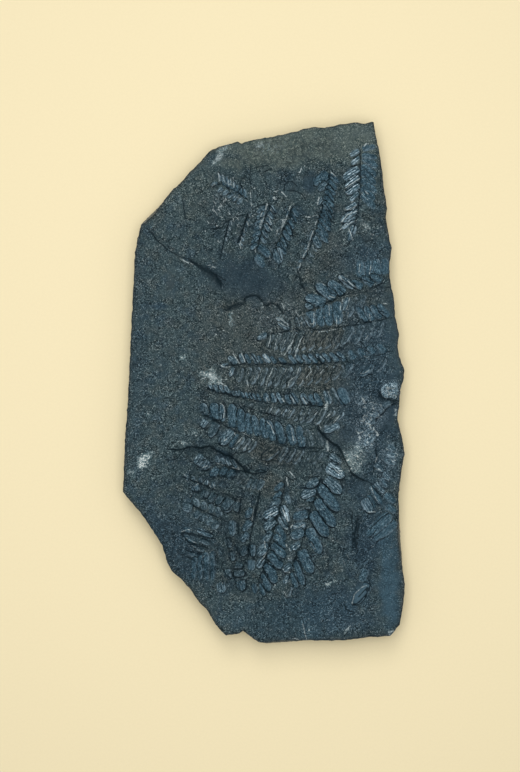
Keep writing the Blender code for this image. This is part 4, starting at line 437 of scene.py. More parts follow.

# Thin creases, darkened with painted shade, each as x, y, x, y and so on: first the bold ones, then the
# fine ones
BOLD_CREASES = (
    # Upper half
    (-24.0, 70.7, -21.4, 71.0, -19.1, 71.3, -17.4, 73.9, -14.9, 75.1), (-12.5, 76.3, -9.2, 77.1),
    (-5.4, 79.6, -2.6, 81.0, 0.4, 81.8), (-18.1, 82.9, -14.8, 80.3),
    (-11.8, 65.0, -9.7, 70.0, -7.3, 77.2), (-10.0, 93.5, -8.7, 93.7), (-3.1, 98.8, 1.5, 99.5),
    (-0.1, 96.3, 3.5, 98.0), (-16.6, 86.3, -15.1, 86.7), (-11.8, 87.6, -10.2, 89.6, -10.8, 91.4),
    (-16.5, 72.5, -18.4, 64.5, -20.2, 56.8), (-7.6, 77.4, -9.8, 70.0, -12.2, 64.4),
    (-31.0, 53.9, -28.0, 52.5, -25.0, 50.7, -22.0, 48.4, -20.4, 46.2),
    (-30.0, 52.9, -27.0, 51.4, -23.6, 49.2, -21.2, 46.8), (28.1, 78.7, 31.3, 73.6),
    (27.8, 82.2, 30.0, 79.0, 32.2, 74.6), (29.0, 86.1, 31.6, 82.9), (30.0, 90.9, 31.9, 88.3),
    (3.3, 80.6, 5.4, 77.4), (1.5, 73.6, 3.4, 71.0), (7.0, 65.0, 8.0, 62.5, 10.0, 60.0),
    (12.3, 77.2, 14.5, 73.0), (11.2, 73.5, 12.5, 71.0, 13.2, 67.5), (8.5, 68.0, 11.0, 62.0),
    (5.5, 62.0, 7.0, 59.0, 8.0, 56.5), (9.2, 88.0, 9.4, 90.6, 10.5, 91.8, 13.0, 92.2, 15.0, 90.2),
    (10.5, 88.0, 14.0, 88.0, 17.2, 86.6, 19.1, 83.8), (40.8, 102.6, 43.9, 105.1),
    (40.1, 99.0, 43.6, 100.2), (36.8, 91.2, 40.4, 93.4, 43.6, 96.2), (37.6, 87.9, 43.4, 92.4),
    (37.0, 78.4, 40.8, 79.1, 42.2, 80.1), (35.6, 72.5, 42.2, 75.3),
    (-36.3, 75.5, -34.4, 74.9, -32.6, 74.7, -31.0, 74.1), (-30.2, 81.9, -27.1, 80.1),
    (-17.3, 82.5, -15.2, 80.5), (-22.8, 70.4, -21.3, 70.7, -18.8, 71.2),
    (-6.3, 98.6, -6.4, 94.3, -6.6, 93.1), (-17.5, 47.2, -19.0, 48.0, -20.5, 49.2, -23.6, 50.6),
    (2.3, 39.7, 2.7, 41.0, 3.8, 41.9), (-32.5, 55.0, -34.4, 57.4), (35.7, 47.1, 39.8, 44.3, 41.9, 43.1),
    (43.3, 48.0, 45.7, 47.1, 49.2, 45.7), (18.7, 38.4, 20.4, 37.0, 22.8, 35.1),
    (28.7, 44.7, 29.4, 42.6, 30.8, 41.0, 32.5, 40.7), (23.2, 46.0, 23.3, 44.0, 23.9, 41.9, 25.3, 40.5),
    (34.3, 43.1, 36.0, 41.5, 36.8, 41.2), (51.9, 33.1, 53.7, 31.5, 55.8, 30.1),
    (44.7, 29.6, 45.7, 28.0, 49.2, 27.9), (9.2, 29.4, 11.1, 27.5, 12.1, 25.6), (14.6, 25.1, 16.6, 24.0),
    (11.7, 28.7, 12.4, 26.3), (1.6, 22.6, 1.9, 21.0), (2.6, 17.6, 2.2, 16.2),
    (-6.2, 13.8, -5.2, 12.5, -3.3, 9.6), (-15.3, 9.9, -14.2, 8.2), (9.2, 9.3, 12.4, 8.3),
    (24.6, 12.4, 25.7, 10.8, 26.5, 9.2), (37.2, 11.4, 38.8, 9.5), (30.4, 11.0, 30.8, 9.8),
    (32.4, 13.4, 34.0, 12.4, 35.9, 11.4), (43.6, 2.5, 45.8, 3.0, 49.7, 4.4), (-25.7, -2.2, -22.5, -3.2),
    # Below the middle
    (-15.1, -4.5, -13.8, -6.1, -10.6, -5.8), (2.2, -3.5, 3.4, -6.7), (7.3, -4.2, 8.2, -6.1),
    (12.1, -4.5, 13.7, -7.0, 15.3, -9.6), (17.8, -6.1, 20.1, -8.3, 21.7, -9.3),
    (27.9, -2.6, 29.2, -5.2, 29.8, -6.8), (33.7, -7.6, 34.7, -9.2), (34.6, -7.1, 37.2, -10.3),
    (-18.7, -7.8, -17.4, -10.0, -17.1, -12.4, -17.3, -15.5), (-19.0, -13.7, -19.1, -16.1, -19.9, -17.0),
    (-24.8, -10.9, -24.5, -13.3, -23.0, -16.1, -19.6, -17.0), (-28.2, -12.7, -27.3, -14.3, -25.7, -14.9),
    (-29.4, -19.2, -28.2, -20.4, -26.6, -20.9, -25.4, -20.1), (-20.5, -21.0, -21.7, -23.2, -24.2, -25.3),
    (-19.6, -25.3, -20.2, -27.8, -18.7, -28.4, -16.8, -28.2),
    (4.0, -20.4, 5.0, -22.2, 5.6, -25.3, 6.2, -26.5), (-15.9, -31.4, -13.8, -32.7, -12.5, -31.1),
    (-10.7, -31.9, -8.5, -31.1, -6.4, -30.2),
    (1.3, -30.5, -0.3, -31.4, -1.2, -33.0, -1.3, -34.8, -0.9, -35.3, 1.0, -35.1),
    (-8.8, -37.3, -7.6, -39.1, -7.0, -39.9), (-3.9, -40.0, -1.5, -39.3, 1.3, -40.2),
    (-18.7, -37.7, -15.6, -38.5, -11.0, -40.7), (-28.8, -39.6, -26.6, -40.0, -25.1, -39.3),
    (-19.6, -41.6, -16.8, -43.0, -14.1, -43.7),
    (-37.5, -42.5, -34.5, -43.5, -32.0, -44.9, -29.5, -45.2, -27.6, -46.6, -23.6, -48.6),
    (24.4, -12.4, 22.4, -14.5), (28.2, -22.8, 30.5, -22.8, 32.1, -21.8),
    (18.1, -29.2, 20.9, -29.5, 23.3, -29.2), (21.2, -31.0, 25.2, -31.0),
    (28.9, -33.2, 30.4, -34.4, 31.9, -35.6, 34.1, -36.6), (33.5, -32.3, 35.6, -34.4, 36.5, -36.2),
    (31.0, -38.5, 32.2, -39.5), (32.5, -43.1, 34.1, -43.9, 36.5, -44.2),
    (26.1, -45.0, 27.9, -46.2, 29.5, -47.9, 30.7, -49.6, 32.2, -50.5, 34.1, -50.7),
    (35.0, -44.8, 36.1, -47.9),
    (24.0, -50.7, 26.4, -52.8, 27.6, -55.0, 29.5, -57.1, 31.6, -58.9, 33.5, -59.1),
    (20.3, -42.7, 22.4, -42.8, 25.2, -42.5),
    (17.2, -47.6, 19.7, -48.1, 22.7, -48.1, 24.6, -46.4, 25.8, -44.5),
    (20.9, -54.3, 22.7, -53.7, 23.6, -52.2), (18.4, -56.8, 20.0, -57.7, 21.2, -58.3),
    (9.8, -42.1, 11.4, -43.0, 13.5, -44.5), (48.8, -46.1, 50.0, -47.9, 51.9, -50.0, 53.7, -51.6),
    (47.3, -59.1, 48.8, -59.6, 50.6, -59.2),
    (-36.2, -30.0, -38.2, -32.4, -39.6, -34.2, -41.5, -34.9, -45.0, -34.9),
    (-16.2, 34.0, -14.0, 35.2, -12.0, 35.7, -10.2, 35.9),
    # Fans
    (-1.0, -62.1, 1.5, -63.0), (2.8, -62.9, 5.4, -61.9, 6.0, -60.8),
    (7.3, -58.6, 7.6, -60.2, 9.2, -63.7, 10.8, -65.3, 11.6, -65.6), (11.8, -65.9, 11.8, -68.8),
    (0.6, -67.8, 1.5, -68.8, 2.8, -68.2), (5.0, -72.6, 7.3, -74.2, 9.2, -75.4), (2.5, -73.3, 1.5, -75.2),
    (1.2, -78.7, -0.4, -80.3, -1.4, -81.6), (2.8, -76.2, 4.1, -76.5, 5.7, -78.4, 6.6, -80.3, 8.6, -81.4),
    (1.8, -82.1, 3.8, -83.8, 5.4, -85.1, 7.6, -85.4), (0.2, -86.7, 1.5, -89.0, 3.1, -90.9, 4.4, -92.2),
    (-1.4, -91.2, -0.4, -93.1, 0.9, -95.0, 2.8, -95.7),
    (24.2, -58.2, 25.8, -60.5, 27.1, -62.7, 28.4, -64.3, 30.3, -65.6, 32.2, -65.8),
    (21.7, -63.7, 23.3, -66.2, 24.9, -68.5, 26.2, -69.9, 29.0, -70.2),
    (20.7, -72.3, 21.7, -72.0, 23.0, -74.6), (15.3, -81.0, 16.6, -83.2, 17.8, -86.7, 21.7, -88.0),
    (14.6, -77.8, 15.0, -79.7, 13.7, -81.0), (13.4, -85.8, 14.0, -88.0, 15.9, -91.5),
    (10.5, -97.9, 11.4, -97.8), (37.0, -75.2, 36.1, -76.8, 35.8, -78.4),
    # Right side
    (57.0, -59.2, 54.1, -60.7, 51.9, -62.8, 49.8, -65.0, 48.1, -66.2), (59.6, -59.8, 61.3, -62.4),
    (51.1, -66.7, 49.4, -69.2, 48.1, -70.1), (55.3, -70.1, 52.3, -71.4, 51.1, -73.1),
    (46.9, -93.0, 43.1, -97.3), (42.9, -61.0, 42.0, -65.0, 41.4, -69.0, 41.8, -73.0, 42.6, -76.0),
    (43.6, -64.0, 42.8, -68.0, 43.0, -71.0), (37.0, -101.8, 37.4, -103.2, 40.0, -104.2),
    (47.7, -115.3, 51.1, -115.5), (42.3, -70.4, 41.0, -72.0), (42.6, -66.0, 41.2, -68.4),
    (43.0, -72.8, 41.6, -75.0), (38.3, -113.6, 36.6, -115.3),
    # Lower left
    (-38.2, -77.9, -35.0, -79.4, -32.1, -80.8), (-30.0, -66.8, -27.0, -67.6, -23.5, -69.0),
    (-20.0, -4.5, -17.0, -4.4, -15.0, -5.8, -11.5, -6.3),
    (-37.2, -68.2, -33.0, -68.6, -28.2, -69.9, -23.1, -70.9), (-37.8, -69.0, -34.3, -72.2, -30.8, -73.4),
    (-25.6, -1.0, -25.0, -2.6, -22.6, -3.2), (-13.8, -85.9, -13.8, -87.9, -10.0, -88.2),
    (-2.1, -50.0, -2.9, -53.4, -3.9, -57.4, -4.6, -63.3, -5.9, -69.4, -6.9, -75.0, -7.4, -78.6),
    (-1.6, -50.4, -2.3, -53.6, -3.2, -57.4, -4.0, -62.0),
    (-10.6, -53.0, -11.0, -57.2, -11.2, -61.3, -12.0, -65.3, -11.5, -68.4),
    (-6.9, -75.6, -5.9, -79.1, -4.0, -80.2), (-10.5, -81.2, -7.9, -80.2, -6.9, -78.1),
    (-13.5, -73.5, -12.0, -77.0, -11.0, -78.6), (-17.6, -68.4, -17.1, -71.4, -15.3, -78.6, -15.6, -81.1),
    (-19.1, -81.6, -19.4, -84.2, -18.1, -85.2), (-17.6, -86.7, -16.1, -88.2, -14.5, -89.2),
    (-15.6, -84.2, -13.5, -84.9, -10.0, -84.2, -8.4, -81.6), (-7.7, -89.6, -8.0, -92.8, -9.6, -95.2),
    (-28.0, -51.2, -27.0, -52.6, -25.7, -52.3, -24.5, -50.3),
    (-25.7, -53.1, -25.0, -54.6, -23.5, -54.4, -21.7, -51.8),
    (-21.9, -55.1, -21.2, -55.7, -20.1, -55.1, -17.3, -52.3),
    (-19.1, -56.7, -18.1, -58.2, -16.6, -57.9, -13.0, -53.6), (-14.0, -57.7, -13.0, -58.7, -11.4, -59.2),
    (-32.4, -47.5, -31.3, -49.0, -29.8, -49.8, -28.3, -49.0),
    (48.3, -92.5, 46.4, -96.3, 42.6, -100.1, 40.2, -101.3),
)
FINE_CREASES = (
    (22.4, 90.0, 22.8, 92.2, 23.6, 94.2, 25.2, 95.4, 28.8, 97.5), (26.3, 77.8, 30.0, 73.3),
    (25.2, 73.8, 26.2, 72.3), (24.2, 69.4, 25.8, 67.5), (23.0, 64.6, 25.5, 62.4),
    (30.3, 95.5, 32.4, 93.4), (0.4, 70.1, 1.2, 68.5), (-0.7, 66.9, 0.6, 65.6), (-2.0, 63.7, -0.4, 62.4),
    (-2.0, 59.5, 1.8, 57.0), (-2.9, 80.8, -0.1, 82.1), (12.7, 69.4, 13.4, 66.2), (45.6, 95.4, 48.4, 92.6),
    (46.7, 97.4, 50.5, 94.3), (46.3, 101.3, 48.4, 99.2), (50.2, 65.6, 46.0, 64.9, 44.3, 63.8),
    (53.2, 100.2, 53.4, 89.1), (-35.5, 73.4, -34.0, 70.5), (-18.8, 74.4, -16.1, 73.9, -14.8, 75.3),
    (-11.8, 76.2, -8.7, 77.2), (-5.3, 103.1, -3.8, 103.9, -2.0, 104.3),
    (-3.5, 98.5, -1.7, 98.9, 1.4, 99.4), (-0.1, 96.5, 2.0, 97.7, 3.4, 98.1), (-10.8, 92.5, -10.1, 89.7),
    (-39.0, 58.2, -43.5, 60.6, -46.4, 63.0), (-49.0, 66.0, -53.6, 71.0), (-19.5, 39.3, -17.3, 38.0),
    (20.0, 56.8, 22.8, 54.4), (15.9, 45.7, 16.9, 44.7, 18.3, 42.6), (15.2, 48.8, 13.5, 46.7),
    (50.9, 44.7, 55.1, 45.7, 58.2, 46.2), (53.7, 33.2, 55.8, 31.8), (31.5, 30.8, 31.7, 27.3),
    (28.7, 22.8, 27.0, 20.8, 25.6, 19.0), (34.3, 22.8, 32.5, 21.8, 32.2, 20.1), (18.7, 22.1, 17.3, 19.4),
    (9.5, 17.0, 8.2, 15.0), (17.5, 20.5, 16.9, 18.9), (-11.6, 11.5, -11.0, 9.6), (15.3, 9.9, 16.9, 9.0),
    (49.4, 8.6, 48.4, 6.6), (57.4, 7.9, 59.9, 6.6), (47.4, -1.4, 45.5, -3.9),
    (32.4, -1.4, 33.7, -5.2, 35.0, -7.8), (-24.7, -9.9, -24.6, -13.4),
    (-33.1, -35.7, -31.2, -37.3, -29.7, -37.7), (10.2, -32.4, 8.0, -34.5),
    (-20.7, -27.1, -19.4, -28.3, -17.6, -28.6), (-24.3, -42.7, -21.9, -43.0),
    (-33.0, -48.7, -31.0, -50.1, -29.8, -50.2), (-10.2, -47.9, -9.3, -50.7, -8.4, -51.6),
    (8.6, -56.5, 9.5, -58.3), (20.1, -79.0, 21.7, -80.6, 24.2, -83.8, 26.5, -86.7),
    (12.7, -91.5, 13.7, -92.5), (31.3, -86.1, 32.6, -88.3), (39.0, -59.2, 39.6, -60.5, 39.9, -62.4),
    (40.3, -58.6, 40.3, -67.0, 40.5, -76.3), (43.4, -62.0, 41.8, -64.4), (44.0, -75.0, 42.4, -77.4),
    (44.2, -78.0, 42.6, -80.0), (-2.0, -95.7, -0.4, -96.8),
    (-23.7, -42.4, -21.2, -42.2, -19.1, -42.4, -16.6, -43.2, -14.0, -42.7, -12.5, -41.4),
    (-16.6, -39.9, -18.1, -42.4), (-13.5, -40.4, -15.3, -42.7),
    (-31.9, -80.6, -30.3, -84.7, -28.8, -89.8), (-22.7, -77.0, -22.2, -81.1, -22.7, -85.2),
    (-33.8, -54.6, -30.0, -57.0, -25.0, -59.6, -19.4, -62.0), (-28.6, -52.6, -26.6, -53.0),
    (-16.1, -62.9, -15.1, -65.4), (-15.8, -71.2, -14.8, -74.1), (-13.5, -74.1, -11.9, -76.3),
    (-19.3, -81.1, -18.0, -82.2), (-15.3, -84.5, -12.2, -85.1, -9.0, -83.7), (-19.4, -84.3, -18.2, -85.8),
    (-17.0, -87.9, -15.4, -89.0), (-7.4, -80.2, -7.6, -83.7), (-1.3, -81.8, 0.6, -79.2),
    (-11.7, -91.7, -10.3, -95.1), (-29.2, -74.1, -26.0, -74.9),
    (-35.9, -75.8, -31.1, -77.6, -28.6, -77.0), (-33.7, -74.4, -29.8, -75.7),
    (-35.6, -83.7, -34.3, -84.0), (-28.7, -79.8, -28.2, -84.0, -27.3, -87.9), (-2.1, -88.8, -2.3, -91.4),
)

# Bright strokes, where film stands on edge or rock is chipped: first the strong ones
BOLD_GLEAMS = (
    (30.6, 96.5, 32.7, 94.7), (25.2, 85.0, 24.4, 81.8), (24.4, 74.8, 23.4, 72.6),
    (22.6, 69.8, 21.6, 67.2, 20.8, 64.6, 20.0, 62.0), (20.2, 61.5, 18.6, 59.5, 17.6, 57.2),
    (16.8, 55.0, 15.8, 52.0), (1.4, 82.0, 0.8, 79.4), (8.2, 74.7, 10.2, 74.9), (12.0, 80.9, 11.3, 78.8),
    (-20.9, 96.5, -20.3, 92.5), (37.0, 89.0, 43.4, 93.4), (37.0, 79.4, 39.4, 79.4, 42.5, 81.5),
    (35.3, 73.5, 38.0, 77.0, 42.5, 78.7), (34.9, 70.4, 37.3, 72.1, 42.2, 74.6), (38.8, 70.6, 40.6, 65.6),
    (37.4, 86.6, 38.2, 86.8), (40.0, 82.9, 40.8, 83.2), (-33.4, 54.9, -32.3, 54.5),
    (34.3, 49.5, 35.0, 48.1, 37.4, 45.7), (38.4, 46.7, 39.8, 45.4, 42.2, 43.6), (54.6, 36.5, 56.2, 36.4),
    (16.9, 20.1, 15.9, 17.3, 14.5, 14.5), (5.4, 29.6, 7.6, 29.3, 9.2, 28.2, 11.4, 26.6),
    (6.3, 28.2, 8.9, 26.6, 10.8, 25.9), (17.8, 21.4, 16.6, 19.5, 15.3, 16.0, 13.7, 11.5),
    (-14.0, 13.4, -13.2, 12.2, -11.3, 9.3), (-10.3, 13.8, -8.7, 9.9), (0.2, 13.4, 1.2, 11.5, 2.5, 10.2),
    (-19.6, 8.3, -18.3, 7.4, -15.4, 7.7), (-19.6, 0.3, -18.3, -0.6, -17.0, -1.3),
    (21.2, 7.0, 21.5, 5.4, 19.1, 2.5), (12.4, -6.1, 13.7, -8.6), (17.8, -6.7, 19.4, -9.3),
    (8.2, -6.7, 9.2, -8.3), (1.1, -6.6, 1.5, -8.0),
    (-19.9, -9.1, -18.4, -10.0, -17.9, -12.1, -18.4, -15.5), (-18.2, -26.1, -17.0, -25.2),
    (-12.8, -23.9, -13.6, -22.6), (-27.9, -38.5, -26.0, -37.6), (24.4, -12.9, 23.1, -14.3),
    (30.2, -13.7, 28.6, -15.4), (28.9, -26.3, 29.3, -30.7), (31.9, -39.0, 33.5, -40.2, 35.0, -41.5),
    (10.3, -43.0, 10.5, -44.5, 11.1, -46.7), (51.6, -33.5, 50.9, -35.9), (50.6, -38.9, 53.4, -39.6),
    (47.6, -58.6, 50.6, -58.5), (45.2, -15.8, 46.2, -16.7), (50.0, -20.6, 51.6, -22.5),
    (43.0, -22.8, 45.4, -22.0), (48.1, -19.6, 49.4, -21.2), (2.2, -60.2, 5.7, -58.6),
    (8.6, -57.9, 10.5, -61.1, 10.8, -63.0), (13.0, -64.6, 12.1, -65.9), (9.6, -66.0, 10.6, -66.4),
    (10.0, -73.4, 10.4, -74.4), (11.6, -75.2, 11.8, -76.4), (1.2, -77.1, -1.0, -81.0),
    (0.2, -72.0, 0.6, -74.9), (9.8, -89.9, 10.2, -89.9), (28.8, -9.0, 28.2, -12.0),
    (57.0, -113.6, 59.2, -113.2),
)
FINE_GLEAMS = (
    (-22.2, 82.0, -21.2, 83.0), (-20.7, 80.5, -19.4, 81.5), (-23.2, 83.3, -22.4, 82.5),
    (-18.4, 83.5, -17.4, 82.5), (-16.6, 83.0, -16.1, 82.0), (-26.1, 74.6, -25.2, 73.1),
    (-22.0, 72.3, -21.3, 71.6), (-19.5, 73.4, -18.6, 73.6), (-15.2, 74.1, -14.7, 72.8),
    (-16.6, 71.6, -15.2, 70.0), (-16.8, 69.3, -16.1, 67.8), (-17.5, 66.7, -16.8, 65.0),
    (-12.4, 72.6, -11.9, 71.5), (-12.2, 75.6, -11.6, 74.7), (-6.9, 77.4, -6.3, 75.6),
    (-7.9, 74.1, -7.1, 71.8), (-9.0, 70.8, -9.1, 69.0), (-10.6, 67.5, -9.9, 66.1),
    (-11.3, 63.7, -10.6, 61.8), (-21.2, 65.5, -20.5, 64.5), (-6.4, 87.9, -6.1, 85.3),
    (-8.4, 83.9, -7.4, 83.0), (-13.5, 85.3, -11.8, 84.8), (-5.9, 82.5, -5.6, 81.1),
    (5.5, 69.5, 6.2, 70.0), (4.0, 84.8, 5.1, 83.9), (4.5, 87.6, 6.6, 88.0), (8.1, 87.4, 10.1, 85.3),
    (-0.8, 78.4, -1.6, 76.2), (-1.3, 74.6, -2.1, 71.6), (8.6, 74.1, 8.1, 71.6), (6.3, 69.5, 5.5, 67.5),
    (-4.2, 62.2, -3.8, 59.9), (2.5, 58.3, 2.9, 56.3), (0.4, 77.8, -0.6, 74.5, -1.8, 70.0),
    (10.6, 76.6, 9.4, 73.6, 7.6, 69.8), (-38.4, 57.2, -36.3, 56.0, -34.4, 55.1),
    (-42.5, 60.9, -41.2, 61.2), (-23.3, 53.6, -22.2, 52.8), (-26.0, 53.9, -24.4, 54.2),
    (-24.6, 52.4, -23.6, 53.6), (22.0, 76.4, 24.6, 76.9), (19.0, 76.1, 21.4, 76.0),
    (22.3, 63.0, 22.6, 61.4, 24.6, 60.8), (3.1, 79.4, 4.3, 77.1), (2.0, 76.8, 3.5, 72.6),
    (1.0, 73.3, 3.5, 69.9), (17.0, 98.2, 16.4, 96.2, 15.2, 96.5), (4.4, 85.8, 5.7, 84.2),
    (46.0, 88.1, 47.7, 86.4), (44.3, 87.0, 47.4, 83.9), (45.6, 108.2, 46.7, 109.6, 47.7, 109.4),
    (50.5, 108.9, 52.6, 107.1), (-18.8, 95.0, -18.4, 92.4, -17.0, 91.2), (-16.4, 94.5, -16.2, 90.5),
    (-15.2, 93.5, -14.9, 90.3), (-14.0, 94.0, -13.8, 89.5), (-23.7, 90.0, -22.5, 91.0),
    (-36.8, 80.8, -36.2, 79.3), (-15.2, 74.1, -14.7, 72.6), (-16.1, 72.0, -15.5, 70.3),
    (-16.7, 69.5, -16.1, 67.7), (-17.3, 66.4, -17.0, 65.2), (-6.7, 77.2, -6.1, 75.3),
    (-7.5, 74.1, -6.9, 72.0), (-10.6, 65.5, -10.7, 61.8), (-6.3, 87.6, -6.1, 84.8),
    (43.8, 54.7, 43.4, 51.6, 43.3, 50.2), (48.8, 54.0, 48.1, 49.9), (23.9, 45.7, 26.3, 45.7, 28.0, 44.7),
    (29.8, 39.8, 32.2, 39.1), (39.0, 39.5, 38.5, 36.0, 37.5, 33.8), (36.0, 38.5, 34.8, 35.5, 34.8, 33.5),
    (38.4, 32.2, 37.7, 28.7), (22.8, 32.0, 22.6, 26.0), (29.6, 36.0, 29.8, 31.0),
    (33.0, 30.5, 33.2, 26.0), (34.8, 30.0, 34.6, 25.8), (24.9, 23.5, 28.0, 23.9, 33.6, 24.9),
    (13.5, 20.4, 10.7, 15.6), (47.4, 21.8, 46.4, 20.4), (48.1, 31.8, 48.5, 28.7),
    (3.1, 23.4, 2.8, 19.8, 1.8, 16.6), (5.7, 20.2, 4.7, 15.0), (9.8, 19.8, 8.6, 17.6),
    (13.4, 19.2, 11.4, 16.0, 9.2, 12.8), (7.6, 14.7, 8.2, 13.4), (12.6, 16.0, 12.4, 14.4),
    (-15.4, 6.1, -14.8, 3.8), (-7.8, 1.6, -7.1, -1.9), (-1.0, 7.0, -3.3, 1.6),
    (4.1, 7.0, 1.5, 1.3, 0.6, -3.2), (10.2, 7.0, 9.2, 4.2), (15.9, 7.0, 15.0, 3.8),
    (13.7, 2.9, 11.4, 1.0, 10.8, -2.2), (17.8, 1.6, 16.6, -0.6), (27.0, 6.3, 25.7, 4.7),
    (48.1, 6.3, 45.8, 4.7), (25.0, 13.0, 27.0, 10.8), (45.5, 12.7, 48.1, 11.0), (29.2, -3.6, 29.8, -5.5),
    (4.7, -4.5, 5.4, -6.4), (8.2, -12.8, 7.9, -13.8), (3.8, -10.9, 2.8, -12.8),
    (12.4, -12.5, 10.5, -14.7), (19.1, -12.8, 17.8, -15.0), (34.2, -15.0, 31.4, -18.3),
    (24.4, -18.3, 26.0, -20.2), (-9.5, -29.9, -6.4, -26.5), (-13.4, -28.4, -10.1, -24.7),
    (-6.1, -34.2, -3.6, -33.9), (9.3, -31.9, 7.4, -34.4), (16.9, -24.6, 17.2, -27.3),
    (11.7, -40.2, 14.1, -43.0), (-32.0, -47.0, -29.9, -45.6), (48.8, -47.0, 50.0, -50.7, 51.6, -53.4),
    (46.0, -53.1, 46.3, -54.3), (6.6, -68.2, 7.3, -69.8), (14.0, -65.3, 15.9, -65.6, 18.5, -64.3),
    (12.1, -68.8, 13.7, -71.7), (21.4, -72.3, 23.3, -75.5), (8.6, -84.5, 9.2, -85.8, 11.8, -86.4),
    (9.2, -95.0, 10.2, -97.3), (37.7, -78.1, 39.0, -80.0), (36.1, -80.6, 36.9, -82.6),
    (-37.6, -67.7, -35.0, -66.6, -33.0, -67.0), (-35.4, -70.4, -31.0, -72.9),
    (-33.0, -74.0, -29.0, -76.3), (-37.0, -41.2, -34.4, -43.2), (-28.2, -79.5, -27.3, -78.6),
    (13.5, -116.5, 17.0, -117.5, 21.5, -117.8), (17.8, -110.0, 18.6, -114.0, 19.8, -118.0),
    (28.0, -91.8, 31.0, -90.6), (39.5, -110.6, 37.4, -112.7), (-9.5, -23.9, -11.3, -26.5),
    (-9.8, -22.6, -8.5, -23.2, -6.7, -24.1), (1.6, -17.6, 3.1, -19.2, 4.7, -23.2),
    (12.4, -20.6, 13.5, -26.1), (-29.0, 1.8, -26.6, 2.8), (-24.6, 2.0, -22.2, 3.0, -20.8, 1.4),
    (-20.0, 0.4, -18.4, -1.0, -18.9, -2.5), (-31.8, -44.0, -30.2, -45.0), (-25.4, -45.4, -24.4, -47.4),
    (-23.2, -46.0, -22.6, -48.2), (40.2, -100.6, 41.2, -96.3, 44.5, -93.0, 46.9, -92.0),
    (-4.7, -57.0, -5.6, -63.0), (-21.7, -36.4, -18.1, -37.6, -14.0, -38.6, -11.0, -39.4),
)

# Small bright spots: x, y, x, y and so on
SPOTS = (
    50.3, 71.6, 53.3, 71.6, 48.8, 68.3, 49.8, 68.0, 49.3, 66.4, 51.5, 67.3, 57.0, 68.5, 26.6, 109.9,
    33.3, 108.4, 18.5, 99.2, 20.7, 98.2, 25.8, 80.3, 20.4, 76.2, 20.3, 73.6, -18.8, 104.8, -21.6, 102.6,
    -20.4, 99.7, -19.9, 87.6, -21.6, 84.4, -22.8, 83.1, -19.9, 80.7, -4.4, 89.1, -34.0, 83.3,
    -21.4, 72.0, -21.0, 64.9, -12.9, 68.7, -12.1, 72.3, -26.8, 69.6, -51.9, 70.5, -38.7, 59.8,
    14.9, 55.1, 16.6, 54.6, 27.3, 30.3, 20.4, 24.6, 51.2, 42.2, 51.1, 40.5, -18.5, 24.2, -21.8, 22.4,
    -7.1, 4.5, 44.2, 4.6, 45.2, 4.6, 62.2, 5.4, 61.4, 1.4, 46.8, -18.2, -32.6, -22.6, -31.1, -23.8,
    -15.0, -25.3, -5.2, -25.6, -14.1, -29.8, -6.7, -29.6, -35.1, -27.4, 22.3, -22.9, 36.2, -43.0,
    34.0, -36.1, 4.9, -92.0, 4.2, -93.9, 31.3, -70.4, 31.4, -71.7, 11.1, -79.7, 15.6, -74.2,
    10.0, -54.0, -19.0, -91.0, -12.0, -38.4, 36.4, -31.4,
)

# How a pinnule of each finish looks: how silvery its film is, painted sheen included, how much
# film and painted highlight stands along its raised lower edge, how strongly it is ribbed
# lengthways, its warm flush, and how blue it is.
FINISHES = {
    "bright": (1.00, 0.80, 1.0, 0.0, 0.6),
    "silver": (0.43, 0.60, 0.9, 0.0, 0.6),
    "steel": (0.24, 0.50, 0.8, 0.0, 0.9),
    "blue": (0.06, 0.32, 0.7, 0.0, 0.9),
    "grey": (0.12, 0.60, 0.7, 0.0, 0.4),
    "pale": (0.10, 0.90, 0.9, 0.30, 0.0),
    "brown": (0.05, 0.75, 0.9, 0.85, 0.0),
    "stone": (0.06, 0.45, 0.7, 0.20, 0.1),
    "satin": (0.08, 0.20, 0.2, 0.0, 0.8),
    "bare": (0.56, 0.20, 0.0, 0.0, 0.9),
}
# How far the dark line round a pinnule fades at its tip
OPEN_TIPS = {"pale": 0.75, "brown": 0.85, "stone": 0.7}

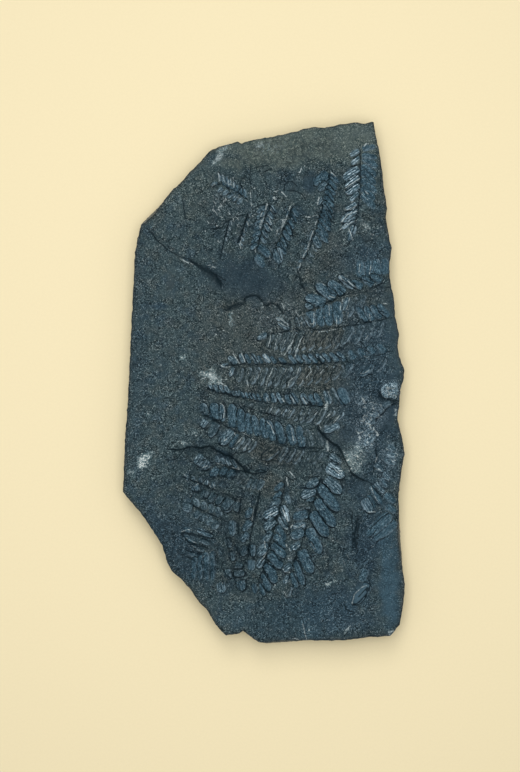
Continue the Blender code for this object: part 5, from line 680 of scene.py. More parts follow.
# Soft-edged areas of colour in the rock, by kind: x, y, half length, half width, turn in
# degrees, strength
TINTS = {
    # Brownish grey rock
    "warm": (
        (2.0, 24.0, 34.0, 20.0, 0.0, 0.55), (-8.0, 8.0, 24.0, 22.0, 0.0, 0.35),
        (40.0, 36.0, 18.0, 10.0, 10.0, 0.50), (31.0, 20.0, 16.0, 8.0, 10.0, 0.65),
        (29.0, 2.0, 14.0, 7.0, 10.0, 0.75), (31.0, 60.0, 8.0, 8.0, 0.0, 0.50),
        (20.0, 50.0, 6.0, 6.0, 0.0, 0.35), (2.0, -32.0, 12.0, 5.0, -20.0, 0.70),
        (3.0, -46.0, 6.0, 5.0, 0.0, 0.70), (-10.0, -57.0, 5.0, 6.0, 0.0, 0.30),
        (42.0, -22.0, 12.0, 12.0, 0.0, 0.45), (32.0, -8.0, 10.0, 4.0, 0.0, 0.45),
    ),
    # Greenish grey rock, along the upper edge and at the right
    "olive": (
        (6.0, 108.0, 24.0, 9.0, 8.0, 0.86), (32.0, 110.0, 26.0, 9.0, 5.0, 0.60),
        (-30.0, 88.0, 14.0, 12.0, 45.0, 0.20), (41.0, -34.5, 5.8, 7.4, -30.0, 0.80),
    ),
    # Smooth rock of a dark blue
    "ink": (
        (-60.0, 20.0, 7.0, 60.0, 0.0, 0.30), (-46.0, -72.0, 14.0, 20.0, 40.0, 0.70),
        (31.0, -104.0, 18.0, 12.0, 0.0, 0.80), (57.5, -90.0, 4.5, 26.0, 2.0, 0.60),
        (57.0, -14.5, 6.5, 5.0, 40.0, 0.85), (47.0, 58.0, 14.0, 8.0, 0.0, 0.55),
        (-8.0, 48.0, 17.0, 8.0, -12.0, 0.70), (-47.0, 35.4, 3.4, 1.4, 0.0, 0.90),
        (-18.0, -32.8, 4.0, 1.6, -28.0, 0.90), (20.4, 91.6, 3.0, 3.6, 0.0, 0.60),
        (48.0, -12.0, 14.0, 50.0, 0.0, 0.75), (46.0, -74.0, 9.0, 15.0, 0.0, 0.85),
        (20.0, -112.0, 44.0, 10.0, 0.0, 0.25), (56.6, -98.0, 0.9, 10.0, -4.0, 0.90),
        (12.0, 92.0, 8.0, 5.0, 0.0, 0.35), (60.0, 40.0, 3.0, 30.0, 0.0, 0.40),
    ),
    # Rock of a clearer blue
    "blue": (
        (57.0, -88.0, 3.6, 24.0, 2.0, 0.75), (10.0, -107.0, 22.0, 10.0, 0.0, 0.32),
        (54.8, -76.0, 0.9, 12.0, -4.0, 0.70), (44.3, -96.5, 6.8, 3.0, 50.0, 0.50),
    ),
    # Painted shade in hollows and along ledges and cracks
    "shade": (
        (-9.0, 47.5, 17.0, 8.0, -12.0, 0.30), (-24.0, 49.4, 7.0, 2.0, -42.0, 0.75),
        (-13.6, 35.0, 4.6, 0.9, 18.0, 0.75), (-28.0, -31.0, 10.0, 1.6, -4.0, 0.50),
        (-16.6, -33.6, 5.0, 1.5, -28.0, 0.50), (42.2, -68.0, 7.5, 1.5, 84.0, 0.60),
    ),
    # Less speckled rock
    "smooth": (
        (-8.0, 48.0, 17.0, 8.0, -12.0, 0.50), (57.0, -90.0, 5.0, 26.0, 2.0, 0.60),
        (36.6, -4.6, 4.0, 5.0, 0.0, 0.40), (57.0, -14.5, 6.5, 6.0, 40.0, 0.80),
        (20.4, 91.6, 3.4, 4.4, 0.0, 0.75), (13.5, 87.0, 5.0, 4.4, 0.0, 0.60),
        (36.0, -24.0, 8.0, 5.0, 0.0, 0.60), (43.0, -50.0, 7.0, 7.0, 0.0, 0.40),
        (59.5, 30.0, 3.6, 28.0, 4.0, 0.65), (-5.8, -82.4, 2.2, 2.8, 0.0, 0.80),
        (10.0, 108.0, 46.0, 9.0, 8.0, 0.45), (-42.0, 47.0, 3.0, 6.0, 0.0, 0.60),
        (44.3, -96.5, 6.8, 3.0, 50.0, 0.90),
    ),
    # Pale scuffs
    "pale": (
        (57.6, -76.0, 0.7, 8.0, -4.0, 0.20), (-54.5, -35.0, 3.6, 2.8, 20.0, 0.95),
        (-61.0, -40.5, 1.8, 1.2, 0.0, 0.60), (-24.5, 3.4, 5.4, 2.6, -24.0, 0.85),
        (-37.0, 11.5, 1.5, 1.2, 0.0, 0.85), (-53.0, -14.0, 1.0, 0.8, 0.0, 0.70),
        (-15.1, 29.4, 1.2, 3.8, 0.0, 0.58), (9.0, 29.0, 5.0, 2.0, -30.0, 0.45),
        (-20.0, 104.0, 1.6, 6.5, -25.0, 0.60), (46.5, 71.5, 2.6, 2.2, -40.0, 0.60),
        (51.8, 71.2, 2.2, 1.0, 0.0, 0.60), (29.5, -91.3, 3.0, 0.8, 22.0, 0.62),
        (-37.2, -27.2, 1.8, 1.2, -40.0, 0.60), (-32.2, -23.0, 1.8, 0.8, 30.0, 0.60),
        (28.5, -10.4, 0.7, 1.4, -20.0, 1.00), (29.0, -28.4, 0.6, 2.2, 10.0, 0.90),
        (60.2, -12.2, 1.2, 0.6, -40.0, 0.80), (60.5, -14.6, 0.9, 0.6, -40.0, 0.70),
        (58.5, -113.4, 2.4, 1.6, 30.0, 0.60), (38.0, -112.6, 3.0, 0.6, 50.0, 0.60),
        (20.6, -113.0, 0.6, 4.0, 10.0, 0.50), (41.0, -34.5, 5.4, 7.0, -30.0, 0.54),
        (45.5, -34.0, 5.0, 6.0, -10.0, 0.30), (4.0, 107.0, 9.0, 3.0, 8.0, 0.25),
        (-2.5, 109.0, 2.4, 1.4, 8.0, 0.50),
    ),
    # Glittering dotted film
    "glitter": (
        (57.5, -4.0, 5.0, 3.8, 0.0, 1.00), (49.0, -11.0, 8.5, 4.2, -38.0, 0.80),
        (47.0, -22.0, 5.0, 7.5, 0.0, 0.90), (58.0, -32.0, 4.0, 6.0, 0.0, 0.50),
        (-14.0, 80.0, 12.0, 6.0, -15.0, 0.25), (8.0, 30.0, 14.0, 8.0, -20.0, 0.30),
    ),
}

# Broken, lumpy rock: x, y, half length, half width, turn in degrees, size of a lump, its height
LUMPS = (
    (-17.0, 79.0, 17.0, 9.0, -15.0, 1.9, 0.35),
    (8.0, 29.0, 14.0, 8.0, -25.0, 2.0, 0.40),
    (49.0, -14.0, 11.0, 12.0, -30.0, 1.3, 0.34),
    (57.5, -4.0, 5.0, 3.8, 0.0, 1.2, 0.40),
    (-22.0, -42.0, 20.0, 14.0, -30.0, 2.3, 0.35),
    (-14.0, -74.0, 14.0, 24.0, 0.0, 2.6, 0.32),
    (8.0, -106.0, 16.0, 12.0, 0.0, 1.8, 0.30),
    (10.0, -34.0, 20.0, 8.0, -10.0, 2.0, 0.30),
    (48.0, 72.0, 9.0, 8.0, 0.0, 1.7, 0.28),
    (10.0, 106.0, 34.0, 9.0, 8.0, 2.8, 0.26),
    (-38.0, -76.0, 12.0, 22.0, 35.0, 2.8, 0.28),
)

# Colours of the slate
ROCK = (0.0390, 0.0660, 0.0755)
WARM = (0.053, 0.064, 0.060)
OLIVE = (0.106, 0.136, 0.122)
INK = (0.0235, 0.0500, 0.0725)
LEAF = (0.043, 0.093, 0.127)
# Near black: the darkest bits of the rock, and the painted shade in grooves, creases, cracks and hollows
DARK = (0.002, 0.010, 0.015)
# Silvery film, and the painted sheen and highlights that it carries
FILM_SHEEN = (0.305, 0.425, 0.500)
PALE = (0.330, 0.400, 0.410)
GLEAM = (0.400, 0.470, 0.480)
BROKEN = (0.150, 0.165, 0.160)
BROKEN_DARK = (0.050, 0.066, 0.070)

# Bits of the slate that differ in brightness
GRAIN_CONTRAST = 0.82       # by how much they differ
BIT_POWER = 2.6             # how much rarer bright ones are than dark ones
BIT_GAIN = 3.6              # brings them back to the brightness of the rock
LEAF_UNREST = 0.85          # share of that contrast on pinnules
SIDE_UNREST = 0.40          # and in the broken sides

# Patterns in the slate: how many of their waves or cells there are in a metre
GRAIN_SCALE = 3100.0
DUST_SCALE = 3300.0
CRUMB_SCALE = 2850.0
DOT_SCALE = 1900.0
WRINKLE_SCALE = 430.0
UNREST_SCALE = 280.0
FLUSH_SCALE = 230.0
CLOUD_SCALE = 160.0
LAYER_SCALE = (90.0, 90.0, 1300.0)
FIBRE_SCALE = 900.0         # of the floor

# Patterns on a pinnule: how many there are in a millimetre along it and across it
THREAD_SCALE = (1.0, 2.9, 0.0)
STROKE_SCALE = (0.70, 1.8, 0.0)
PATTERN_SHIFT = 13.0        # from one pinnule to the next, so that they differ
VEIN_PACE = 11.5            # radians in a millimetre
VEIN_SLANT = 0.55           # millimetres along for each millimetre across
GLITTER_DENSITY = 0.90      # bright strokes in a square millimetre of glittering film

# Floor, lights and camera
FLOOR_COLOUR = (0.885, 0.770, 0.500)
FLOOR_SIZE = 6.0
SKY = (1.0, 1.0, 1.0)
SKY_STRENGTH = 0.50
IMAGE_MIDDLE = (-1.83, -1.15)   # what the camera stands over, in millimetres
IMAGE_HEIGHT = 352.4            # what it sees from top to bottom, in millimetres, at the face
CAMERA_HEIGHT = 0.70            # above the face, in metres
SENSOR = 36.0
SLATE_SPECULAR = 0.12
FLOOR_SPECULAR = 0.1
# Lamps: name, place and size in metres, power in watts, colour
LAMPS = (
    ("ceiling", (0.0, 0.0, 0.56), 0.40, 1.45, (1.0, 1.0, 1.0)),
    ("window", (-0.10, 0.80, 0.90), 0.60, 3.9, (1.0, 0.99, 0.97)),
)


def smooth(share):
    """Goes from 0 to 1 as the share does, with no corner at either end."""
    share = np.clip(share, 0.0, 1.0)
    return share * share * (3.0 - 2.0 * share)


def bell(distance, half_width):
    """Is 1 at no distance and fades out beyond the half width."""
    return np.exp(-(distance / half_width) ** 2)


def fading(reach, start, width):
    """Is 1 up to the start and falls to 0 over the width beyond it."""
    return 1.0 - smooth((reach - start) / width)


class Waves:
    """Smooth random waves over a plane, from -1 to 1, the same each time for one seed."""

    SIZE = 251

    def __init__(self, seed):
        self.table = np.random.RandomState(seed).uniform(-1.0, 1.0, (self.SIZE, self.SIZE))

    def __call__(self, x, y, step):
        u, v = np.asarray(x) / step, np.asarray(y) / step
        column, row = np.floor(u).astype(int), np.floor(v).astype(int)
        across, up = smooth(u - column), smooth(v - row)
        near, far = column % self.SIZE, (column + 1) % self.SIZE
        low, high = row % self.SIZE, (row + 1) % self.SIZE
        bottom = self.table[near, low] * (1.0 - across) + self.table[far, low] * across
        top = self.table[near, high] * (1.0 - across) + self.table[far, high] * across
        return bottom * (1.0 - up) + top * up


class Cobbles:
    """Lumps packed together: 0 in the gaps between them and about 1 on their tops."""

    SIZE = 127
    FAR = 9.0

    def __init__(self, seed):
        self.table = np.random.RandomState(seed).uniform(0.0, 1.0, (3, self.SIZE, self.SIZE))

    def __call__(self, x, y, step):
        u, v = x / step, y / step
        column, row = np.floor(u).astype(int), np.floor(v).astype(int)
        nearest = np.full(x.shape, self.FAR)
        second = np.full(x.shape, self.FAR)
        share = np.zeros(x.shape)
        for i in (-1, 0, 1):
            for j in (-1, 0, 1):
                cell = ((column + i) % self.SIZE, (row + j) % self.SIZE)
                shift_x, shift_y, level = (layer[cell] for layer in self.table)
                gap = np.hypot(column + i + shift_x - u, row + j + shift_y - v)
                second = np.minimum(second, np.maximum(gap, nearest))
                share = np.where(gap < nearest, level, share)
                nearest = np.minimum(nearest, gap)
        return smooth((second - nearest) / 0.5) * (0.4 + 0.6 * share)


class Pinnule:
    """One leaflet: a tongue with a round tip, domed, with its lower side the higher one."""

    TIP_SHARE = 0.38
    FOOT_SHARE = 0.14
    DOWNHILL = np.array((0.45, -0.9))

    def __init__(self, foot, tip, width, finish, relief, generator):
        self.foot = np.array(foot)
        along = np.array(tip) - self.foot
        self.length = math.hypot(along[0], along[1])
        self.along = along / self.length
        self.across = np.array((-self.along[1], self.along[0]))
        self.half_width = width / 2.0 * PINNULE_FULLNESS
        self.film, self.edge_film, self.ribs, self.warm, self.blue = FINISHES[finish]
        self.open_tip = OPEN_TIPS.get(finish, 0.0)
        self.relief = relief * generator.uniform(*RELIEF_RANGE)
        self.bend = generator.uniform(*BEND_RANGE) * self.length
        self.lower_side = 1.0 if self.across @ self.DOWNHILL > 0.0 else -1.0

    def point(self, share, offset):
        """The place at a share of the length, and at an offset in half widths."""
        shift = self.bend * share * share + offset * self.half_width
        return self.foot + self.along * (share * self.length) + self.across * shift

    def ring(self, count, size):
        """Points of the outline, drawn at a size of 1, or of a smaller or larger copy."""
        points = []
        for step in range(count):
            angle = math.tau * (step + 0.5) / count
            lengthways = math.cos(angle) * size
            if lengthways > 0.0:
                share = 1.0 - self.TIP_SHARE + self.TIP_SHARE * lengthways
            else:
                share = self.FOOT_SHARE + self.FOOT_SHARE * lengthways
            points.append(self.point(share, math.sin(angle) * size))
        return points

    def line(self, offset, first, last):
        """Points along the pinnule at one offset, between two shares of its length."""
        count = max(2, round((last - first) * self.length / OUTLINE_STEP) + 1)
        return [self.point(share, offset) for share in np.linspace(first, last, count)]

    def measure(self, x, y):
        """The share of the length, the offset in half widths, and how far out a place is: 1 on
        the outline."""
        dx = x - self.foot[0]
        dy = y - self.foot[1]
        share = (dx * self.along[0] + dy * self.along[1]) / self.length
        shift = dx * self.across[0] + dy * self.across[1]
        offset = (shift - self.bend * share * np.abs(share)) / self.half_width
        past_tip = (share - 1.0 + self.TIP_SHARE) / self.TIP_SHARE
        past_foot = (self.FOOT_SHARE - share) / self.FOOT_SHARE
        lengthways = np.maximum(np.maximum(past_tip, past_foot), 0.0)
        return share, offset, np.hypot(lengthways, offset)


def make_pinnules():
    """Every pinnule, from the rows drawn above."""
    generator = np.random.RandomState(PINNULE_SEED)
    pinnules = []
    for *ends, width, finish, relief in PINNULE_ROWS:
        count, first, last = ends if len(ends) > 1 else (1, ends[0], ends[0])
        first, last = np.array(first), np.array(last)
        for step in range(count):
            place = first + (last - first) * (step / max(1, count - 1))
            if count > 1:
                place = place + generator.uniform(*PLACE_RANGE, 4) * width
            pinnules.append(Pinnule(place[:2], place[2:], width, finish, relief, generator))
    return pinnules


def walk(points, step):
    """Points along a line, about a step apart."""
    places = []
    for start, end in zip(points[:-1], points[1:]):
        start, end = np.array(start), np.array(end)
        count = max(1, round(math.dist(start, end) / step))
        places += [start + (end - start) * k / count for k in range(count)]
    places.append(np.array(points[-1]))
    return places


def line_distance(points, x, y):
    """Distance to a line, the share of its length at the nearest place, and if that is right."""
    best = np.full(x.shape, np.inf)
    share = np.zeros(x.shape)
    right = np.zeros(x.shape, dtype=bool)
    lengths = [math.dist(a, b) for a, b in zip(points[:-1], points[1:])]
    done = 0.0
    for (ax, ay), (bx, by), length in zip(points[:-1], points[1:], lengths):
        ux, uy = (bx - ax) / length, (by - ay) / length
        along = np.clip((x - ax) * ux + (y - ay) * uy, 0.0, length)
        gap = np.hypot(x - ax - ux * along, y - ay - uy * along)
        nearer = gap < best - TIE
        best = np.where(nearer, gap, best)
        share = np.where(nearer, (done + along) / sum(lengths), share)
        right = np.where(nearer, (x - ax) * uy - (y - ay) * ux > 0.0, right)
        done += length
    return best, share, right


def line_points(line):
    """The points of a line that is given as x, y, x, y and so on."""
    return list(zip(line[::2], line[1::2]))


def patch_reach(x, y, px, py, half_length, half_width, turn):
    """How far out of an oval patch a place is: 0 in its middle and 1 on its edge."""
    turn = math.radians(turn)
    dx, dy = x - px, y - py
    u = (dx * math.cos(turn) + dy * math.sin(turn)) / half_length
    v = (dy * math.cos(turn) - dx * math.sin(turn)) / half_width
    return np.hypot(u, v)


def ragged(points, step, amount):
    """A line broken into short steps with small corners, and left as drawn at its ends."""
    waves = Waves(RAGGED_SEED)
    places = np.array(walk(points, step))
    x, y = places[:, 0], places[:, 1]
    inner = np.minimum(np.arange(len(places)), np.arange(len(places))[::-1])
    sideways = waves(x, y, 1.9) + 0.6 * waves(x, y, 0.9)
    lengthways = waves(y, x, 1.7) + 0.6 * waves(y, x, 0.8)
    shift = np.stack((sideways, lengthways), axis=1) * (amount * smooth(inner / 3.0))[:, None]
    return [tuple(place) for place in places + shift]


def ragged_stems():
    """The stems with small corners."""
    return [ragged(line_points(line), STEM_STEP, STEM_RAGGEDNESS) for line in STEMS]


def ragged_breaks():
    """The ledges and cracks with small corners, each with its drop and reach."""
    return [(ragged(line_points(line), BREAK_STEP, BREAK_RAGGEDNESS), drop, reach)
            for line, drop, reach in BREAKS]


def dark_line(gap, half_width):
    """Strength of a thin line: past 0.7 within its half width, falling evenly to 0 outside."""
    return np.clip(0.7 + (half_width - gap) / 0.8, 0.0, 1.0)


def glitter_strokes():
    """Short bright strokes at random in the glittering film, most of them leaning left."""
    generator = np.random.RandomState(GLITTER_SEED)
    strokes = []
    for px, py, half_length, half_width, turn, strength in TINTS["glitter"]:
        turn = math.radians(turn)
        for _ in range(int(GLITTER_DENSITY * strength * half_length * half_width)):
            angle, reach, lean = generator.uniform(0.0, 1.0, 3)
            along = half_length * math.sqrt(reach) * math.cos(math.tau * angle)
            across = half_width * math.sqrt(reach) * math.sin(math.tau * angle)
            x = px + along * math.cos(turn) - across * math.sin(turn)
            y = py + along * math.sin(turn) + across * math.cos(turn)
            lean = math.radians(-45.0 + 90.0 * (lean - 0.5))
            half = generator.uniform(0.25, 0.75)
            dx, dy = half * math.cos(lean), half * math.sin(lean)
            strokes.append((x - dx, y - dy, x + dx, y + dy))
    return tuple(strokes)


class Face:
    """The upper face at many places at once: its height and what its material needs there."""

    def __init__(self, x, y, pinnules):
        self.x, self.y = x, y
        self.waves = Waves(FACE_SEED)
        self.values = {name: np.zeros(x.shape) for name in FACE_VALUES}
        self.height = np.full(x.shape, FACE_LEVEL)
        self.lay_ground()
        self.lay_breaks()
        self.lay_lumps()
        self.lay_tints()
        self.lay_pinnules(pinnules)
        self.lay_stems()
        self.lay_creases()

    def strengthen(self, name, amount):
        """Raises one of the values to the amount wherever it is lower."""
        self.values[name] = np.maximum(self.values[name], amount)

    def lay_ground(self):
        """Low swells and hollows, and the roughness of the rock."""
        x, y = self.x, self.y
        self.height += sum(
            rise * np.sin(x / length_x + y / length_y + phase)
            for rise, length_x, length_y, phase in SWELLS)
        for *oval, rise in PATCHES:
            self.height += rise * fading(patch_reach(x, y, *oval), 0.3, 1.0)
        for step, rise in UNEVENNESS:
            self.height += rise * self.waves(x + step, y - step, step)
        for oval in FERN_AREAS:
            self.strengthen("rough", fading(patch_reach(x, y, *oval), 0.7, 0.4))
        rough = self.values["rough"]
        self.height += rough * WRINKLE_HEIGHT * (np.abs(self.waves(y, x, WRINKLE_STEP)) - 0.4)
        grit = np.random.RandomState(GRIT_SEED).uniform(-1.0, 1.0, x.shape)
        self.height += GRIT * (1.0 + rough) * grit

    def lay_breaks(self):
        """Ledges and cracks, with painted shade at the foot of a drop and a dark line of painted shade
        along each.
        """
        broken = 1.0 + 0.7 * self.waves(self.x, self.y, 2.3)
        for points, drop, reach in ragged_breaks():
            gap, share, right = line_distance(points, self.x, self.y)
            ends = smooth(np.minimum(share, 1.0 - share) / BREAK_END_SHARE)
            fall = drop * ends * smooth(gap / WALL_WIDTH) * np.exp(-gap / reach)
            self.height -= np.where(right, fall, 0.0)
            crack = (0.35 + 0.65 * ends) * bell(gap, CRACK_HALF_WIDTH * broken)
            self.height -= CRACK_DEPTH * crack
            foot = 0.80 * min(1.0, drop) * ends * np.exp(-gap / (FOOT_SHADE_REACH * broken))
            self.strengthen("shade", np.where(right, foot, 0.0))
            self.strengthen("line", dark_line(gap, 0.26 * (0.2 + 0.4 * ends + drop) * broken))

    def lay_lumps(self):
        """Broken, lumpy rock, with painted shade in the gaps between its lumps."""
        cobbles = Cobbles(LUMP_SEED)
        for *oval, size, rise in LUMPS:
            reach = patch_reach(self.x, self.y, *oval) + 0.3 * self.waves(self.x, self.y, 5.0)
            strength = fading(reach, 0.55, 0.6)
            lump = cobbles(self.x, self.y, size)
            self.height += rise * strength * (lump - 0.5)
            self.strengthen("shade", 0.55 * strength * (1.0 - lump) ** 3)

    def lay_tints(self):
        """Areas of colour: the pale scuffs have a crumbled rim, and the others a soft one."""
        x, y = self.x, self.y
        soft = 0.30 * self.waves(x, y, 4.0) + 0.18 * self.waves(x, y, 1.4)
        crumbled = 0.45 * self.waves(x, y, 2.1) + 0.55 * self.waves(x, y, 0.9)
        for kind, areas in TINTS.items():
            rim, half_fade = (crumbled, 0.75) if kind == "pale" else (soft, 0.6)
            for *oval, strength in areas:
                reach = patch_reach(x, y, *oval) + rim
                self.strengthen(kind, strength * fading(reach, 1.0 - half_fade, 2.0 * half_fade))

    def lay_pinnules(self, pinnules):
        """The pinnules, each over those before it, with a groove and a dark line of painted shade round
        it.
        """
        rise, groove, outline = (np.zeros(self.x.shape) for _ in range(3))
        values = self.values
        for number, pinnule in enumerate(pinnules):
            middle = pinnule.point(0.5, 0.0)
            reach = pinnule.length * 0.5 + pinnule.half_width + PINNULE_MARGIN
            near = np.flatnonzero(
                (np.abs(self.x - middle[0]) < reach) & (np.abs(self.y - middle[1]) < reach))
            x, y = self.x[near], self.y[near]
            share, offset, size = pinnule.measure(x, y)
            inside = size < 1.005
            side = offset * pinnule.lower_side
            across = offset * pinnule.half_width
            depth_in = (1.0 - size) * pinnule.half_width
            crown = smooth(depth_in / CROWN_WIDTH)
            clear = min(1.0, pinnule.relief)

            dome = smooth(depth_in / PINNULE_SHOULDER) * (0.85 + PINNULE_TILT * side)
            dome = dome + 0.15 * smooth(depth_in / pinnule.half_width)
            midrib = bell(across, MIDRIB_HALF_WIDTH) * smooth((0.92 - share) / 0.3) * crown
            ribs = RIB_HEIGHT * pinnule.ribs * -np.cos(math.tau * across / RIB_STEP) * crown
            top = dome * PINNULE_RISE * pinnule.relief
            top = top - MIDRIB_DEPTH * midrib * pinnule.relief + ribs
            rise[near] = np.where(inside, top, rise[near])
            edge = bell(depth_in, GROOVE_HALF_WIDTH) * clear ** 2
            groove[near] = np.where(inside, edge, np.maximum(groove[near], edge))

            # Painted shade: the dark line is widest on the pinnule's lower side and fades at an open tip
            open_tip = 1.0 - pinnule.open_tip * smooth((share - 0.55) / 0.35)
            half_line = (0.10 + 0.10 * np.sign(side)) * clear * open_tip
            half_line += 0.12 * self.waves(x, y, 1.5)
            line = dark_line(np.abs(depth_in), half_line) * (0.55 + 0.45 * open_tip)
            line = line * (0.6 + 0.4 * clear)
            outline[near] = np.where(inside, line, np.maximum(outline[near], line))

            worn = 0.80 + 0.35 * self.waves(x, y, 1.1) + 0.25 * self.waves(y, x, 2.6)
            # Painted sheen: the film is brighter towards the pinnule's lower, raised side
            film = pinnule.film * crown * (0.85 + 0.15 * side) * (1.0 - 0.35 * midrib)
            # Painted highlight with film: a bright streak just inside the raised lower edge
            streak = bell(depth_in - STREAK_INSET, STREAK_HALF_WIDTH) * smooth(side / 0.4)
            streak = pinnule.edge_film * streak * (0.45 + 0.75 * worn * worn)
            laid = {
                "film": np.clip(film * worn, 0.0, 1.0),
                "edge": np.clip(streak, 0.0, 1.0),
                "leaf": crown,
                "rib": pinnule.ribs * crown,
                "blue": pinnule.blue * crown,
                "rough": 0.0,
                "warm": np.maximum(values["warm"][near] * (1.0 - 0.5 * crown), pinnule.warm * crown),
                "along": share * pinnule.length + PATTERN_SHIFT * number,
                "across": across,
            }
            for name, amount in laid.items():
                values[name][near] = np.where(inside, amount, values[name][near])
        self.height += rise - GROOVE_DEPTH * groove
        values["line"] = np.maximum(values["line"] * (1.0 - values["leaf"]), outline)

    def lay_stems(self):
        """Sunken stems, each in a broad trough, with a dark line and painted shade along them, and little
        film on them.
        """
        stem = np.full(self.x.shape, np.inf)
        for points in ragged_stems():
            stem = np.minimum(stem, line_distance(points, self.x, self.y)[0])
        self.height -= TROUGH_DEPTH * bell(stem, TROUGH_HALF_WIDTH)
        self.height -= STEM_DEPTH * bell(stem, STEM_HALF_WIDTH)
        self.strengthen("line", dark_line(stem, 0.12 + 0.22 * self.waves(self.y, self.x, 1.5)))
        self.strengthen("shade", 0.14 * bell(stem, 0.7))
        for name in ("film", "edge"):
            self.values[name] *= 1.0 - 0.9 * bell(stem, 0.6)

    def lay_creases(self):
        """Every thin crease with its painted shade, and every bright stroke and bright spot."""
        spots = [(x, y, x + SPOT_LENGTH, y) for x, y in line_points(SPOTS)]
        strokes = FINE_GLEAMS + glitter_strokes()
        for value, lines, half_width, rise in (
                ("line", BOLD_CREASES, 0.27, -1.0),
                ("line", FINE_CREASES, 0.15, -0.5),
                ("gleam", BOLD_GLEAMS, 0.25, 0.6),
                ("gleam", strokes, 0.12, 0.3),
                ("gleam", spots, 0.26, 0.3)):
            for line in lines:
                self.mark(value, line, half_width, rise * CREASE_DEPTH)

    def mark(self, value, line, half_width, rise):
        """Draws one crease or bright stroke, as one of the values and in the height."""
        xs, ys = line[::2], line[1::2]
        near = np.flatnonzero(
            (self.x > min(xs) - MARK_MARGIN) & (self.x < max(xs) + MARK_MARGIN)
            & (self.y > min(ys) - MARK_MARGIN) & (self.y < max(ys) + MARK_MARGIN))
        x, y = self.x[near], self.y[near]
        gap = line_distance(line_points(line), x, y)[0]
        level = dark_line(gap, half_width + 0.14 * self.waves(x, y, 0.9))
        self.values[value][near] = np.maximum(self.values[value][near], level)
        self.height[near] += rise * bell(gap, CREASE_HALF_WIDTH)


def inside_outline(x, y, outline):
    """Whether each place is inside a closed line."""
    inside = np.zeros(x.shape, dtype=bool)
    for (ax, ay), (bx, by) in zip(outline, np.roll(outline, -1, axis=0)):
        if ay == by:
            continue
        crosses = (ay > y) != (by > y)
        inside ^= crosses & (x < ax + (y - ay) * (bx - ax) / (by - ay))
    return inside


def rim_distance(x, y, outline):
    """Distance of each place to a closed line."""
    return line_distance([tuple(place) for place in np.vstack((outline, outline[:1]))], x, y)[0]


def drawn_in(rim, inset):
    """The outline moved towards the middle of the slab by an inset at each of its places."""
    radius = np.hypot(rim[:, 0], rim[:, 1])
    return rim * (1.0 - inset / radius)[:, None]


class Rim:
    """The slab's outline in short steps, and how ragged it is."""

    def __init__(self):
        places = np.array(walk(line_points(OUTLINE + OUTLINE[:2]), RIM_STEP)[:-1])
        steps = np.hypot(*(np.roll(places, -1, axis=0) - places).T)
        self.arc = np.concatenate(((0.0,), np.cumsum(steps)[:-1]))
        self.waves = Waves(RIM_SEED)
        self.places = drawn_in(places, 0.26 * self.ragged(0.0, 3.2) + 0.14 * self.ragged(40.0, 1.2))
        self.inset = np.full(len(places), TOP_INSET)
        for x, y, reach, depth in BARE_SIDES:
            near = bell(np.hypot(places[:, 0] - x, places[:, 1] - y), reach)
            self.inset += (depth - TOP_INSET) * near
        self.inset += 0.35 * self.ragged(80.0, 2.4)
        self.upper = drawn_in(self.places, self.inset)

    def round_rim(self, row, step):
        """Random waves round the rim, from -1 to 1, other ones for each row."""
        return self.waves(self.arc, np.full(self.arc.shape, row), step)

    def ragged(self, row, step):
        """Random steps round the rim, from 0 to 1, fading where the line closes on itself."""
        closing = smooth(self.arc / 3.0) * smooth((self.arc[-1] - self.arc) / 3.0)
        return np.abs(self.round_rim(row, step)) * closing

    def layer(self, share):
        """The broken side at a share of its height: its places, and how much it waves."""
        bulge = 0.55 * abs(share - 0.58) / 0.42
        undercut = FOOT_INSET * smooth((0.30 - share) / 0.30)
        upper = smooth((share - 0.62) / 0.38)
        lamina = 0.55 * self.ragged(share * 900.0, 4.5) + 0.40 * self.ragged(share * 1900.0, 1.4)
        inset = upper * self.inset * 0.8 + (1.0 - upper) * (bulge + undercut) + lamina
        wave = 0.35 * self.round_rim(share * 300.0, 7.0)
        return drawn_in(self.places, inset), wave * min(1.0, share * 4.0)


class Scatter:
    """Collects places on the face, leaving out any that is too close to an earlier one."""

    CELL = 1.1

    def __init__(self):
        self.places = []
        self.cells = {}

    def add(self, places, clearance=CLOSEST_POINTS):
        """Takes up the places, in their order."""
        for place in places:
            column, row = math.floor(place[0] / self.CELL), math.floor(place[1] / self.CELL)
            if not self.crowded(place, column, row, clearance):
                self.places.append((float(place[0]), float(place[1])))
                self.cells.setdefault((column, row), []).append(self.places[-1])

    def crowded(self, place, column, row, clearance):
        """Whether an earlier place is nearer than the clearance."""
        for i in (column - 1, column, column + 1):
            for j in (row - 1, row, row + 1):
                for other in self.cells.get((i, j), ()):
                    if math.dist(place, other) < clearance:
                        return True
        return False


def jittered_rows(step, generator):
    """Places spread over the slab, about a step apart."""
    half = 0.5 * DRAWN_LENGTH
    rows = []
    for row, y in enumerate(np.arange(-half, half, step * ROW_SPACING)):
        x = np.arange(-WIDTH_SHARE * half, WIDTH_SHARE * half, step) + (row % 2) * step / 2.0
        places = np.stack((x, np.full(x.shape, y)), axis=1)
        rows.append(places + generator.uniform(-0.25, 0.25, places.shape) * step)
    return np.vstack(rows)


def pinnule_points(scatter, pinnules):
    """Adds corners along the midrib, the outline and the ribs of each pinnule."""
    for pinnule in pinnules:
        scatter.add(pinnule.line(0.0, 0.10, 0.92))
    for shift in OUTLINE_SHIFTS:
        for pinnule in pinnules:
            size = max(0.3, 1.0 + shift / pinnule.half_width)
            around = 2.0 * (pinnule.length + 2.0 * pinnule.half_width) * size
            scatter.add(pinnule.ring(round(around / OUTLINE_STEP), size), LINE_CLEARANCE)
    for pinnule in pinnules:
        if pinnule.ribs > PLAIN_RIBS:
            ridges = int(pinnule.half_width / RIB_STEP * 2.0)
            for ridge in range(1, ridges + 1):
                offset = ridge * 0.5 * RIB_STEP / pinnule.half_width
                for side in (-offset, offset):
                    scatter.add(pinnule.line(side, 0.15, 0.85))


